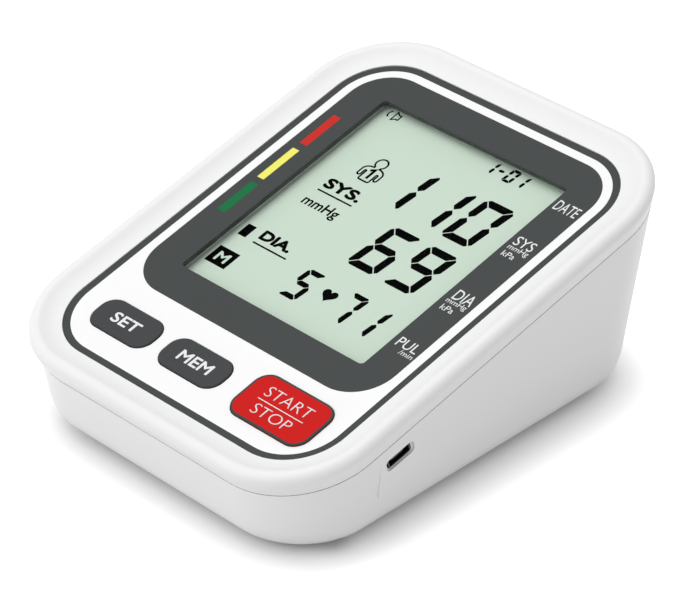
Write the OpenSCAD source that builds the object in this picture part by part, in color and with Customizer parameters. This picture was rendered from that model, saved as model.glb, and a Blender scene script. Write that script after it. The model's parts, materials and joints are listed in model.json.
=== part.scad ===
// Upper arm blood pressure monitor: a wedge-shaped table case with a sloping face,
// a display window, three keys, a USB socket, an air socket for the cuff and a battery bay.
// X points to the user's right, Y to the back and Z up. The origin lies on the table,
// under the middle of the case. "Face" lengths run across (u) and up the slope (v), and
// depths (w) are measured square to the face, positive outwards.

/* [Face] */
// Slope of the face above the table
tilt = 15.5; // [14:0.5:17]
// Width of the face
face_w = 95; // [94:1:104]
// Length of the face, up the slope
face_l = 126; // [125:1:136]
// Corner radius of the face
face_r = 16.6; // [14:0.2:19]
// Thickness of the face sheet
sheet_t = 0.5; // [0.3:0.1:0.8]
// Width of the dark band round the face
band_w = 1.9; // [1:0.1:2.4]

/* [Rim] */
// Width of the rim round the face, measured to the seam
rim_w = 7.5; // [7:0.1:9]
// Depth of the seam below the face
seam_depth = 4.3; // [3.8:0.1:5]
// Radius of the rounded edge of the rim
edge_r = 2.4; // [2:0.1:3]
// Distance from the seam line in to the centre of the rounded edge
edge_in = 1.0; // [0.6:0.1:1.4]
// Height of the centre of the rounded edge above the face
edge_up = 0.13; // [0:0.01:0.4]
// Radius of the hollow sweep from the face up to the edge
dish_r = 12; // [9:0.5:16]
// Height of the lip that stands round the face
lip_h = 0.25; // [0.1:0.05:0.4]

/* [Case] */
// Wall thickness of both shells
wall = 2.4; // [2:0.1:2.8]
// Thickness of the deck under the face sheet
deck_t = 2.0; // [1.8:0.1:2.2]
// Inward lean of the front wall
front_draft = 9.1; // [6:0.1:11]
// Inward lean of the back wall
rear_draft = 3.5; // [1:0.1:5]
// Inward lean of the side walls, square to the face
side_draft = 8.3; // [6:0.1:10]
// Plan corner radius where the walls would meet the underside
base_r = 22; // [20:0.5:24]
// Radius of the rounded bottom edge
foot_r = 8; // [6:0.5:10]
// Open line between the two shells
seam_gap = 0.2; // [0.1:0.05:0.3]

/* [Display] */
// White strip of the face beside the dark surround
strip_side = 4.6; // [4.2:0.1:5.4]
// White strip of the face behind the dark surround
strip_back = 4.4; // [4:0.1:5.2]
// White field of the keys in front of the dark surround
key_field = 26.5; // [26:0.1:28]
// Corner radius of the dark surround
surround_r = 12; // [9:0.5:14]
// Width of the surround beside the window
border_side = 10.1; // [9.6:0.1:11.5]
// Width of the surround behind the window
border_back = 9.6; // [9:0.1:11]
// Width of the surround in front of the window
border_front = 10.3; // [9.6:0.1:12]
// Middle of the window across the face
window_u = 0.4; // [0:0.1:0.5]
// Depth of the display glass below the face
glass_depth = 3.0; // [2.8:0.1:3.4]
// Thickness of the clear lens
lens_t = 1.0; // [0.8:0.1:1.2]

/* [Keys] */
// White strip of the face left of the first key
keys_left = 8.7; // [8.6:0.1:10]
// White strip of the face right of the large key
keys_right = 6.75; // [6.7:0.05:8]
// White strip between the two small keys
keys_apart = 4.2; // [4:0.1:5]
// White strip between the small keys and the large one
start_apart = 6.75; // [5:0.05:8]
// Share of the three keys' width that one small key takes
key_share = 0.312; // [0.28:0.002:0.33]
// Share of the key field's length that a small key takes
key_depth_share = 0.3925; // [0.35:0.0025:0.42]
// Share of the key field's length that the large key takes
start_depth_share = 0.5736; // [0.48:0.0002:0.6]
// Corner radius of the keys
key_r = 4.3; // [3:0.1:4.3]
// Height of a key above the face
key_up = 0.5; // [0.3:0.1:0.8]
// Travel of a key
key_travel = 0.5; // [0.3:0.1:0.6]
// Gap round a key in its hole
key_gap = 0.25; // [0.15:0.05:0.4]

/* [Board] */
// Depth of the board's upper side below the face
board_depth = 11.75; // [11.5:0.05:12]
// Thickness of the board
board_t = 1.6; // [1.2:0.1:1.7]
// Distance from the face's side edges to the posts that carry the board
post_side = 7; // [6.5:0.1:7.4]
// Distance from the face's front and back edges to those posts
post_end = 33; // [32:0.5:35]

/* [Battery bay] */
// Number of cells
cells = 4; // [4:1:4]
// Radius of a cell
cell_r = 7.1; // [6.9:0.05:7.15]
// Length of a cell with its nipple
cell_l = 50.5; // [49.5:0.1:50.5]
// Gap between two cells
cell_gap = 0.8; // [0.6:0.1:1]
// Gap between the bay's front edge and the board above it
board_gap = 0.47; // [0.4:0.01:2]
// Length left for the contact springs
spring_l = 5.6; // [5:0.1:6]
// Thickness of the battery cover
lid_t = 2.2; // [2:0.1:2.4]
// Gap round the battery cover
lid_gap = 0.3; // [0.2:0.05:0.4]
// Height of the rubber feet below the case
foot_up = 0.8; // [0.6:0.1:1]

/* [Pump and air] */
// Radius of the pump head
pump_r = 11; // [10.8:0.1:11]
// Length of the pump head
head_l = 16; // [14:0.5:17]
// Radius of the pump motor
motor_r = 10.5; // [10:0.1:10.6]
// Share of the room beside the pump head that its motor takes
motor_share = 0.656; // [0.6:0.002:0.68]
// Inside radius of the air tubes
tube_in = 1.55; // [1.5:0.01:1.6]
// Outside radius of the air tubes
tube_out = 2.5; // [2.3:0.1:2.6]
// Radius of the bore that takes the cuff's plug
socket_bore = 2.75; // [2:0.05:3]
// Depth of the bore that takes the cuff's plug
socket_depth = 12; // [10:0.5:12]

/* [Hidden] */
$fn = 64;

// Shell and face
seam_w = face_w + 2 * rim_w;
seam_l = face_l + 2 * rim_w;
seam_r = face_r + rim_w;
fit = 0.2;                                  // gap round the face sheet
edge_c = [-edge_in, edge_up];               // centre of the rim's rounded edge, from the seam
face_y = edge_up * sin(tilt);
deck_under = sheet_t + deck_t;
floor_z = foot_up;
back_y = face_y + seam_l / 2 * cos(tilt) + seam_depth * sin(tilt);
side_slope = tan(side_draft);
plan_lean = atan(side_slope * sin(tilt));   // turn of the side walls in plan
slice_t = 0.02;
tongue_in = 3.5;
tongue_t = 1.1;
tongue_l = 1.7;
white = [0.93, 0.93, 0.93];
dark_grey = [0.29, 0.31, 0.32];

// Display
surround_t = 1.5;
surround_w = face_w - 2 * strip_side;
surround_l = face_l - strip_back - key_field;
surround_v = (key_field - strip_back) / 2;
window_w = surround_w - 2 * border_side;
window_l = surround_l - border_back - border_front;
window_v = surround_v + (border_front - border_back) / 2;
lens_gap = 0.2;                             // round the lens in the cover's opening
rebate_gap = 0.15;
window_r = 1.2;
lens_edge = 2;                              // lens reaches this far past the window
glass_edge = 1.1;
glass_t = 2.2;
holder_wall = 0.6;
contact_w = 2;
contact_in = 2.1;                             // elastomer strips lie this far inside the holder
holder_w = window_w + 2 * (glass_edge + holder_wall);
holder_l = window_l + 2 * (glass_edge + holder_wall) + 1.6;
holder_top = deck_under + 0.1;

// Keys
keys_w = face_w - keys_left - keys_right - keys_apart - start_apart;
key_w = key_share * keys_w;
start_w = keys_w - 2 * key_w;
key_l = key_depth_share * key_field;
start_l = start_depth_share * key_field;
keys_u = [
    keys_left + key_w / 2 - face_w / 2,
    keys_left + 1.5 * key_w + keys_apart - face_w / 2,
    face_w / 2 - keys_right - start_w / 2
];
key_centre_share = 0.5208;                  // the keys' middles along the key field
start_centre_share = 0.5434;
flange_t = 0.9;
flange_edge = 1.2;
stem_r = 2.2;
switch_w = 6;
switch_h = 3.5;
plunger_r = 1.7;
plunger_up = 1.25;
plunger_down = 0.75;
slide_gap = 0.05;

// Board
board_under = board_depth + board_t;
board_side = 3.5;                           // its edges inside the face's: side, front, back
board_front = 5;
board_back = 11;
neck_in = 10;                               // it is narrower beside the case screws
neck_front = 14;
neck_back = 9;
board_half = face_w / 2 - board_side;
board_neck = board_half - neck_in;
board_top_v = face_l / 2 - board_back;
board_bottom_v = board_front - face_l / 2;
board_wide = [board_bottom_v + neck_front, board_top_v - neck_back];
post_u = face_w / 2 - post_side;
post_v = face_l / 2 - post_end;
post_r = 3;
fin_t = 1.2;                                // fins that steady the posts under the deck
fin_l = 7;
fin_h = 6;
board_screw_r = 1.0;
board_head_r = 2.2;
board_head_h = 1.5;

// USB socket
usb_front = 26;                             // from the face's front edge
usb_v = usb_front - face_l / 2;
usb_up = 1.35;                              // middle of the socket above the board
usb_tab = 6;                                // half the width of the board's tab under it
usb_shell = [7.5, 2.6];
usb_shell_r = 0.6;
usb_back = 5.5;
usb_sunk = 1.2;
usb_mouth_u = seam_w / 2 - usb_sunk;
usb_tongue = [4, 0.6, 4.5];
usb_shell_t = 0.3;
usb_hole = [8.3, 3.1];
usb_hole_r = 0.9;
usb_recess = [9.6, 3.7];
usb_recess_r = 1.3;
usb_recess_deep = 0.7;
usb_y = face_y + usb_v * cos(tilt) + (board_depth - usb_up) * sin(tilt);
pad_reach = [6.46, 8.24];                   // in front of the socket and behind it
pad_y = [usb_y - pad_reach[0], usb_y + pad_reach[1]];
pad_bottom = 17.85;
pad_lean = 0.1;
usb_face_u = seam_w / 2 - 0.1 - pad_lean * (board_depth - usb_up - seam_depth);

// Pump
sleeve_t = 1.5;
pump_in = 20.6;                             // from the seam's back edge
pump_lift = 14.3;
pump_y = back_y - pump_in;
pump_z = floor_z + wall + pump_lift;

// Battery bay
cell_pitch = 2 * cell_r + cell_gap;
bay_slack = [0.4, 0.5];
bay_half_x = (cell_l + spring_l) / 2 + bay_slack.x;
bay_half_y = cells * cell_pitch / 2 + bay_slack.y;
bay_wall = 2.4;
pump_gap = 1.6;                             // between the bay and the pump's sleeve
bay_y = pump_y - motor_r - sleeve_t - pump_gap - bay_wall - bay_half_y;
lid_z = floor_z + lid_t;
ledge_z = floor_z + wall;
lid_ledge = 1;
lid_half_x = bay_half_x + lid_ledge;
lid_half_y = bay_half_y + lid_ledge;
cell_lift = 0.3;
cell_z = ledge_z + cell_lift + cell_r;
bay_roof = cell_z + cell_r + bay_slack.x;
roof_t = 1.8;
bay_top = bay_roof + roof_t;
bay_front = bay_y - bay_half_y - bay_wall;
plate_t = 0.4;
plate_w = 11;
nipple = [2.7, 1.5];
hinge_y = bay_y - lid_half_y + lid_t;
hook_x = 16;
hook_w = 8;
hook_reach = 3.4;
hook_low = 0.35;
hook_high = 1.35;
hook_sweep = 4.2;
latch_w = 9;
latch_h = 3.6;
latch_t = 1.2;
latch_gap = 0.3;
hollow_r = 9;                               // finger hollow behind the cover
hollow_w = 18;
hollow_deep = 1.1;
grip_w = 14;
grips = 5;
grip_pitch = 1.6;
gusset_x = [-26, -9, 9, 26];                // stiffening webs in front of the bay
gusset_t = 1.4;
gusset_reach = 9;
gusset_up = 12;
spring_wire = 0.4;
spring_turns = 3;

// Height of the middle of the face: the board under it clears the battery bay
face_height = bay_top + board_gap + board_under / cos(tilt) + (face_y - bay_front) * tan(tilt);
seam_front = face_point(0, -seam_l / 2, -seam_depth);
seam_rear = face_point(0, seam_l / 2, -seam_depth);
floor_front = front_y(0);                   // where the front wall would meet the table

// Case screws
boss_r = 4.4;
cover_boss_r = 3.4;
front_screw_in = [9, 16.6];                 // from the seam's side and the floor's front edge
rear_screw_in = 16.5;
rear_shift = 1.5;                           // back screws and feet stand behind the pump's axis
front_boss_h = 13.8;
rear_boss_h = 14.7;
front_screw = [seam_w / 2 - front_screw_in.x, floor_front + front_screw_in.y];
rear_screw = [seam_w / 2 - rear_screw_in, pump_y + rear_shift];
front_joint = face_z(front_screw.y) - front_boss_h;
rear_joint = face_z(rear_screw.y) - rear_boss_h;
screw_r = 1.25;
screw_hole = 1.6;
screw_grip = 6;
screw_bite = 7;
screw_head = [2.6, 1.8];
screw_well = 3.0;
slot_l = 3;
slot_w = 0.5;
slot_deep = 1;

// Cuff socket
nozzle_r = 1.5;
nozzle_bore = 0.8;
socket_ahead = 28.5;                        // in front of the pump's axis
air_lift = 4.7;                             // above the battery bay
socket_y = pump_y - socket_ahead;
air_z = bay_top + air_lift;
socket_r = 6;
socket_sunk = 0.93;
socket_collar = 3;
socket_neck = 1.7;                          // neck and nozzle behind the bore
socket_nozzle = 6;
socket_mouth = side_x(socket_y, air_z) - socket_sunk;
socket_flange = [7.6, 1.5];
socket_neck_r = 4.5;
socket_hole = 11.2;                         // depth of the wall's opening behind the mouth

// Air path
air_in = 23.2;                              // from the socket's mouth
air_ahead = 4.5;                            // in front of the pump's axis
air_x = air_in - socket_mouth;
air_y = pump_y - air_ahead;
air_centre = [air_x, air_y, air_z];
air_arm = 5;                                // reach of the manifold's arms
tube_start = 3.4;                           // tubes begin this far from the manifold's middle
manifold_r = 2.8;
manifold_hollow = 1.5;
arm_root = 2.2;                             // arms and their bores start inside the ball
bore_root = 1.15;
bend_r = 4;
valve_size = [10.4, 14, 11.8];
valve_top = floor_z + wall + valve_size.z;
valve_nozzle = 3.4;
sensor_v = (air_y - face_y) * cos(tilt) + (air_z - face_height) * sin(tilt);
sensor_size = [9, 9, 4.5];
sensor_nozzle = 5;

// Pump along X, from its nozzle to the end of its motor
pump_nozzle = 2.6;
nozzle_gap = 0.4;
pump_face_x = air_x + air_arm + pump_nozzle + nozzle_gap;
pump_split_x = pump_face_x + head_l;
motor_l = motor_share * (rear_screw.x - boss_r - pump_split_x);
motor_axle_r = 3;
strap_w = 3;
strap_x = [for (s = [-1, 1]) pump_split_x + motor_l / 2 + s * strap_w / 2];
strap_t = 0.9;
strap_lock = [4, 5, 2.6];
saddle_t = 2;
saddle_gap = 1.5;                           // from the strap, and from the sleeve's ends
saddle_x = [strap_x[0] - saddle_gap - saddle_t, strap_x[1] + saddle_gap];
sleeve_x = [saddle_x[0] - saddle_gap, saddle_x[1] + saddle_t + saddle_gap];
saddle_half = 8.5;
saddle_up = 5;                              // top of a saddle below the motor's middle
dimple_ring = 7.8;
dimple_r = 0.9;
groove_in = 5;                              // groove round the head, in front of the motor
groove_w = 1;
groove_deep = 0.6;

// Parts under the board: places across it and in front of its back edge
chip_u = [6, -14, -2, -20, 12, 20, -12];
chip_in = [66, 62, 38, 30, 22, 22, 50];
processor_size = [12, 12, 1.5];
memory_size = [7, 6, 1.3];
driver_size = [5, 4.4, 1.2];
resistor_size = [3.2, 1.6, 1];
resistor_pitch = 5;
capacitor = [2.6, 7];
crystal = [1.6, 3];
buzzer_in = [18, 44];
buzzer_r = 6;
buzzer_h = 5;
buzzer_hole = 1;
pump_plug_in = [20, 12];
battery_plug_in = [11, 31];
pump_plug = [board_half - pump_plug_in.x, board_top_v - pump_plug_in.y];
battery_plug = [board_half - battery_plug_in.x, board_top_v - battery_plug_in.y];
plug_size = [6, 5, 5];

// Feet
foot_pad_r = 5;
foot_pad_t = 1.8;
front_foot_in = [19.5, 17.6];
rear_foot_in = 31;
front_foot = [seam_w / 2 - front_foot_in.x, floor_front + front_foot_in.y];
rear_foot = [seam_w / 2 - rear_foot_in, pump_y + rear_shift];

function face_point(u, v, w) = [
    u,
    face_y + v * cos(tilt) - w * sin(tilt),
    face_height + v * sin(tilt) + w * cos(tilt)
];
function face_z(y) = face_height + (y - face_y) * tan(tilt);
function cell_y(i) = bay_y + (i - (cells - 1) / 2) * cell_pitch;
function depth_at(y, z) = (z - face_height) * cos(tilt) - (y - face_y) * sin(tilt);
function front_y(z) = seam_front.y + (seam_front.z - z) * tan(front_draft);
function rear_y(z) = seam_rear.y - (seam_rear.z - z) * tan(rear_draft);
function side_x(y, z) = seam_w / 2 + side_slope * (depth_at(y, z) + seam_depth);

// Places its children in the frame of the face: X across, Y up the slope, Z outwards.
module on_face() {
    translate([0, face_y, face_height]) rotate([tilt, 0, 0]) children();
}

module rounded(w, l, r) {
    square([w - 2 * r, l], center = true);
    square([w, l - 2 * r], center = true);
    for (x = [-1, 1], y = [-1, 1])
        translate([x * (w / 2 - r), y * (l / 2 - r)]) circle(r);
}

module slab(w, l, r, low, high) {
    translate([0, 0, low]) linear_extrude(high - low) rounded(w, l, r);
}

// Sweeps a profile, drawn outwards from a rounded rectangle's edge, all the way round it.
module swept(w, l, r) {
    for (k = [0:3]) rotate([0, 0, 90 * k]) {
        side = k % 2 == 0 ? w / 2 : l / 2;
        run = (k % 2 == 0 ? l : w) - 2 * r;
        translate([side, run / 2, 0]) rotate([90, 0, 0]) linear_extrude(run) children();
        translate([side - r, run / 2, 0])
            rotate_extrude(angle = 90) translate([r, 0]) children();
    }
}

module rod(a, b, r) {
    d = b - a;
    translate(a) rotate([0, acos(d.z / norm(d)), atan2(d.y, d.x)]) cylinder(r = r, h = norm(d));
}

// A bent wire: straight runs with a ball at each bend.
module wire(points, r = 0.6) {
    for (i = [0:len(points) - 2]) rod(points[i], points[i + 1], r);
    for (i = [1:len(points) - 2]) translate(points[i]) sphere(1.04 * r);
}

// One level of the case: four round corners at height z, pulled in by inset.
module case_level(z, inset) {
    r = base_r - inset;
    for (front = [true, false]) {
        y = front ? front_y(z) + inset + r : rear_y(z) - inset - r;
        x = side_x(y, z) - (inset + r) / cos(plan_lean);
        for (s = [-1, 1]) translate([s * x, y, z]) cylinder(r = r, h = slice_t);
    }
}

// The case's tapering form, pulled in by inset, from a level base up to a sloping top.
module case_form(inset, top_depth) {
    round_r = foot_r - inset;
    hull() {
        on_face() for (x = [-1, 1], y = [-1, 1])
            translate([x * (seam_w / 2 - seam_r), y * (seam_l / 2 - seam_r), -top_depth])
                cylinder(r = seam_r - inset, h = slice_t);
        for (a = [0:15:90])
            case_level(floor_z + inset + round_r * (1 - sin(a)), inset + round_r * (1 - cos(a)));
    }
}

module mirrored() {
    children();
    mirror([1, 0, 0]) children();
}

module bay_block(half_x, half_y, low, high) {
    translate([-half_x, bay_y - half_y, low]) cube([2 * half_x, 2 * half_y, high - low]);
}

// Flat place on the right wall for the USB socket: it stands straighter than the wall.
module usb_pad() {
    difference() {
        rotate([90, 0, 90]) linear_extrude(seam_w / 2) polygon([
            for (p = [[pad_y[0], pad_bottom], [pad_y[1], pad_bottom],
                      [pad_y[1], seam_depth + seam_gap], [pad_y[0], seam_depth + seam_gap]])
                [p[0], (p[0] - face_y) * tan(tilt) - p[1] / cos(tilt) + face_height]
        ]);
        translate([-1, -seam_l, -1]) cube([seam_w / 2 - wall + 1, 2 * seam_l, seam_l]);
        on_face() translate([seam_w / 2 - 0.1, 0, -seam_depth]) rotate([0, atan(pad_lean), 0])
            translate([0, -seam_l, -seam_l]) cube([wall, 2 * seam_l, 2 * seam_l]);
    }
}

module screw_places() {
    mirrored() {
        translate([front_screw.x, front_screw.y, front_joint]) children();
        translate([rear_screw.x, rear_screw.y, rear_joint]) children();
    }
}

module foot_places() {
    mirrored() {
        translate([front_foot.x, front_foot.y, 0]) children();
        translate([rear_foot.x, rear_foot.y, 0]) children();
    }
}

// What stands in the lower case: battery bay, screw posts, motor saddles and webs.
module case_insides() {
    low = floor_z + wall - 0.2;
    bay_block(bay_half_x + bay_wall, bay_half_y + bay_wall, low, bay_top);
    mirrored() {
        translate([front_screw.x, front_screw.y, low]) cylinder(r = boss_r, h = front_joint - low);
        translate([rear_screw.x, rear_screw.y, low]) cylinder(r = boss_r, h = rear_joint - low);
    }
    for (x = saddle_x) translate([x, pump_y - saddle_half, low])
        cube([saddle_t, 2 * saddle_half, pump_z - saddle_up - low]);
    for (x = gusset_x) translate([x - gusset_t / 2, bay_front + 0.5, low])
        rotate([90, 0, 90]) linear_extrude(gusset_t)
            polygon([[0, 0], [-gusset_reach, 0], [-gusset_reach, 1], [0, gusset_up]]);
}

module lower_case() {
    color(white) difference() {
        union() {
            difference() {
                case_form(0, seam_depth + seam_gap);
                difference() {
                    case_form(wall, seam_depth - 1);
                    case_insides();
                }
            }
            usb_pad();
        }
        // battery bay, with ribs left between the cells
        difference() {
            bay_block(bay_half_x, bay_half_y, ledge_z - 1, bay_roof);
            for (i = [1:cells - 1])
                translate([-cell_l / 2 + 2, bay_y + (i - cells / 2) * cell_pitch - 0.5, cell_z + 3.4])
                    cube([cell_l - 4, 1, 2 * cell_r]);
        }
        bay_block(lid_half_x + lid_gap, lid_half_y + lid_gap, -1, ledge_z);
        for (s = [-1, 1])
            translate([s * hook_x - hook_w / 2 - lid_gap, hinge_y - hook_sweep, ledge_z - 0.1])
                cube([hook_w + 2 * lid_gap, hook_sweep + 3, hook_sweep + 0.6]);
        // groove above the cover's front edge, into which that edge turns
        translate([-lid_half_x - lid_gap, hinge_y - lid_t - lid_gap, ledge_z - 0.1])
            cube([2 * (lid_half_x + lid_gap), lid_t + lid_gap + 0.1, lid_t + 0.5]);
        // slots for the two terminal tabs
        for (y = [0, cells - 1])
            translate([bay_half_x - 0.6, cell_y(y) - 3, bay_roof - 1]) cube([0.8, 6, roof_t + 2]);
        // finger hollow behind the battery cover
        translate([-hollow_w / 2, bay_y + lid_half_y + lid_gap + wall, floor_z + hollow_deep - hollow_r])
            rotate([0, 90, 0]) cylinder(r = hollow_r, h = hollow_w);
        for (x = saddle_x) translate([x - 1, pump_y, pump_z]) rotate([0, 90, 0])
            cylinder(r = motor_r + sleeve_t + slide_gap, h = saddle_t + 2);
        screw_places() {
            translate([0, 0, -100]) cylinder(r = screw_hole, h = 110);
            translate([0, 0, -100]) cylinder(r = screw_well, h = 100 - screw_grip);
        }
        foot_places() translate([0, 0, -1]) cylinder(r = foot_pad_r + 0.1, h = 1 + foot_pad_t);
        // USB opening with its sunk surround
        on_face() translate([0, usb_v, usb_up - board_depth]) rotate([90, 0, 90]) {
            translate([0, 0, usb_mouth_u - 6]) linear_extrude(12)
                rounded(usb_hole[0], usb_hole[1], usb_hole_r);
            translate([0, 0, usb_face_u - usb_recess_deep]) linear_extrude(4)
                rounded(usb_recess[0], usb_recess[1], usb_recess_r);
        }
        // hole for the cuff's air socket
        translate([-seam_w, socket_y, air_z]) rotate([0, 90, 0])
            cylinder(r = socket_r + 0.1, h = seam_w - socket_mouth + socket_hole);
    }
}

// Section of the cover's rim, drawn outwards from the seam line: a leaning side, a rounded
// edge, a hollow sweep down to the lip, the edge of the deck and the tongue in the case.
module rim_section() {
    foot = [0, -seam_depth];
    reach = norm(edge_c - foot);
    lean = atan2(edge_c.y - foot.y, edge_c.x - foot.x) - asin(edge_r / reach);
    side_top = foot + sqrt(reach * reach - edge_r * edge_r) * [cos(lean), sin(lean)];
    dish_c = [
        edge_c.x - sqrt(pow(dish_r + edge_r, 2) - pow(lip_h + dish_r - edge_c.y, 2)),
        lip_h + dish_r
    ];
    dish_end = dish_c + (edge_c - dish_c) * dish_r / (dish_r + edge_r);
    lip_x = -rim_w + fit;
    difference() {
        union() {
            translate(edge_c) circle(edge_r);
            polygon([
                foot, side_top, edge_c, dish_end, [lip_x, dish_end.y], [lip_x, -sheet_t],
                [lip_x - 2, -sheet_t], [lip_x - 2, -deck_under], [lip_x + 1, -deck_under],
                [edge_c.x - wall, 0], [edge_c.x - wall / 3, -wall / 3], [-wall, -seam_depth]
            ]);
            translate([-tongue_in - tongue_t, -seam_depth - tongue_l])
                square([tongue_t, seam_depth + tongue_l - 0.1]);
        }
        translate(dish_c) circle(dish_r);
    }
}

module upper_cover() {
    color(white) difference() {
        union() {
            on_face() {
                swept(seam_w, seam_l, seam_r) rim_section();
                difference() {
                    slab(face_w - 1, face_l - 1, face_r - 0.5, -deck_under, -sheet_t);
                    translate([0, surround_v, 0]) slab(surround_w + 2 * rebate_gap,
                        surround_l + 2 * rebate_gap, surround_r + rebate_gap, -surround_t, 1);
                    translate([window_u, window_v, 0]) slab(window_w + 2 * (lens_edge + lens_gap),
                        window_l + 2 * (lens_edge + lens_gap), window_r + 1, -deck_under - 1, 1);
                    for (i = [0:2]) key_place(i)
                        slab(key_size(i).x + 2 * key_gap, key_size(i).y + 2 * key_gap,
                             key_r + key_gap, -deck_under - 1, 1);
                }
                for (x = [-1, 1], y = [-1, 1])
                    translate([x * post_u, y * post_v, -board_depth])
                        cylinder(r = post_r, h = board_depth - surround_t - 0.5);
                mirrored() for (y = [-1, 1])
                    translate([post_u, y * post_v - fin_t / 2, -deck_under - fin_h])
                        cube([fin_l, fin_t, fin_h + 0.5]);
            }
            intersection() {
                screw_places() cylinder(r = cover_boss_r, h = 30);
                on_face() slab(face_w, face_l, face_r, -face_height, -sheet_t - deck_t / 2);
            }
        }
        screw_places() translate([0, 0, -1]) cylinder(r = screw_r + slide_gap, h = screw_bite + 2);
        on_face() for (x = [-1, 1], y = [-1, 1])
            translate([x * post_u, y * post_v, -board_depth - 1])
                cylinder(r = board_screw_r + slide_gap, h = 8);
    }
}

function key_size(i) = i == 2 ? [start_w, start_l] : [key_w, key_l];
module key_place(i) {
    share = i == 2 ? start_centre_share : key_centre_share;
    translate([keys_u[i], share * key_field - face_l / 2, 0]) children();
}

module face_sheet() {
    color(white) on_face() difference() {
        slab(face_w - 2 * band_w, face_l - 2 * band_w, face_r - band_w, -sheet_t, 0);
        translate([0, surround_v, 0])
            slab(surround_w + 0.1, surround_l + 0.1, surround_r + 0.05, -1, 1);
        for (i = [0:2]) key_place(i)
            slab(key_size(i).x + 2 * key_gap, key_size(i).y + 2 * key_gap, key_r + key_gap, -1, 1);
    }
}

module face_band() {
    color(dark_grey) on_face() difference() {
        slab(face_w, face_l, face_r, -sheet_t, 0);
        slab(face_w - 2 * band_w, face_l - 2 * band_w, face_r - band_w, -1, 1);
    }
}

module display_surround() {
    color(dark_grey) on_face() difference() {
        translate([0, surround_v, 0]) slab(surround_w, surround_l, surround_r, -surround_t, 0);
        translate([window_u, window_v, 0]) slab(window_w, window_l, window_r, -surround_t - 1, 1);
    }
}

module display_lens() {
    color([0.85, 0.93, 0.93, 0.3]) on_face() translate([window_u, window_v, 0])
        slab(window_w + 2 * lens_edge, window_l + 2 * lens_edge, window_r + 0.8,
             -surround_t - lens_t, -surround_t);
}

module display_glass() {
    color([0.79, 0.87, 0.8]) on_face() translate([window_u, window_v, 0])
        slab(window_w + 2 * glass_edge, window_l + 2 * glass_edge, 0.5,
             -glass_depth - glass_t, -glass_depth);
}

module contact_places() {
    translate([window_u, window_v, 0]) for (s = [-1, 1])
        translate([0, s * (holder_l / 2 - contact_in - contact_w / 2), 0]) children();
}

module display_holder() {
    color([0.9, 0.9, 0.88]) on_face() difference() {
        translate([window_u, window_v, 0])
            slab(holder_w, holder_l, 1, -board_depth, -holder_top);
        translate([window_u, window_v, 0]) {
            slab(window_w + 2 * glass_edge + 0.2, window_l + 2 * glass_edge + 0.2, 0.6,
                 -glass_depth - glass_t, 1);
            slab(window_w - 3, holder_l - 4 * contact_in - 2 * contact_w, 1, -board_depth - 1, 1);
        }
        contact_places() slab(window_w - 5, contact_w + 0.2, 0.2, -board_depth - 1, 1);
    }
}

module display_connectors() {
    color([0.35, 0.35, 0.38]) on_face() contact_places()
        slab(window_w - 5.4, contact_w, 0.1, -board_depth, -glass_depth - glass_t);
}

module main_board() {
    color([0.1, 0.35, 0.2]) on_face() difference() {
        translate([0, 0, -board_under]) linear_extrude(board_t) polygon([
            [-board_neck, board_bottom_v], [board_neck, board_bottom_v],
            [board_neck, board_wide[0]], [board_half, board_wide[0]], [board_half, usb_v - usb_tab],
            [usb_mouth_u - 3, usb_v - usb_tab], [usb_mouth_u - 3, usb_v + usb_tab],
            [board_half, usb_v + usb_tab],
            [board_half, board_wide[1]], [board_neck, board_wide[1]], [board_neck, board_top_v],
            [-board_neck, board_top_v], [-board_neck, board_wide[1]],
            [-board_half, board_wide[1]], [-board_half, board_wide[0]], [-board_neck, board_wide[0]]
        ]);
        for (x = [-1, 1], y = [-1, 1]) translate([x * post_u, y * post_v, -board_under - 1])
            cylinder(r = board_screw_r + 0.2, h = board_t + 2);
    }
}

// Stands a box of size s on the board's underside.
module under_board(u, v, s) {
    on_face() translate([u - s.x / 2, v - s.y / 2, -board_under - s.z]) cube(s);
}

// Stands a cylinder on the board's underside.
module round_part(u, v, r, h) {
    on_face() translate([u, v, -board_under - h]) cylinder(r = r, h = h);
}

module board_chips() {
    color([0.12, 0.12, 0.13]) {
        under_board(chip_u[0], board_top_v - chip_in[0], processor_size);
        under_board(chip_u[1], board_top_v - chip_in[1], memory_size);
        under_board(chip_u[2], board_top_v - chip_in[2], driver_size);
        for (i = [0:3])
            under_board(chip_u[3] + resistor_pitch * i, board_top_v - chip_in[3], resistor_size);
        for (i = [4:5]) round_part(chip_u[i], board_top_v - chip_in[i], capacitor[0], capacitor[1]);
        round_part(chip_u[6], board_top_v - chip_in[6], crystal[0], crystal[1]);
    }
}

module buzzer() {
    color([0.1, 0.1, 0.1]) on_face()
        translate([board_half - buzzer_in.x, board_top_v - buzzer_in.y, -board_under - buzzer_h])
            difference() {
                cylinder(r = buzzer_r, h = buzzer_h);
                translate([0, 0, -1]) cylinder(r = buzzer_hole, h = 3);
            }
}

module pressure_sensor() {
    color([0.75, 0.75, 0.72]) difference() {
        union() {
            under_board(air_x, sensor_v, sensor_size);
            on_face() translate([air_x, sensor_v, -board_under - sensor_size.z - sensor_nozzle])
                cylinder(r = nozzle_r, h = sensor_nozzle + 1);
        }
        on_face() translate([air_x, sensor_v, -board_under - sensor_size.z - sensor_nozzle - 1])
            cylinder(r = nozzle_bore, h = sensor_nozzle + 3);
    }
}

module wire_connectors() {
    color([0.92, 0.9, 0.84]) for (p = [pump_plug, battery_plug]) under_board(p.x, p.y, plug_size);
}

module key_switches() {
    color([0.15, 0.15, 0.16]) on_face() for (i = [0:2]) key_place(i)
        translate([0, 0, -board_depth]) difference() {
            translate([-switch_w / 2, -switch_w / 2, 0]) cube([switch_w, switch_w, switch_h]);
            translate([0, 0, switch_h - plunger_down - key_travel - 0.2])
                cylinder(r = plunger_r + slide_gap, h = 3);
        }
}

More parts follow.
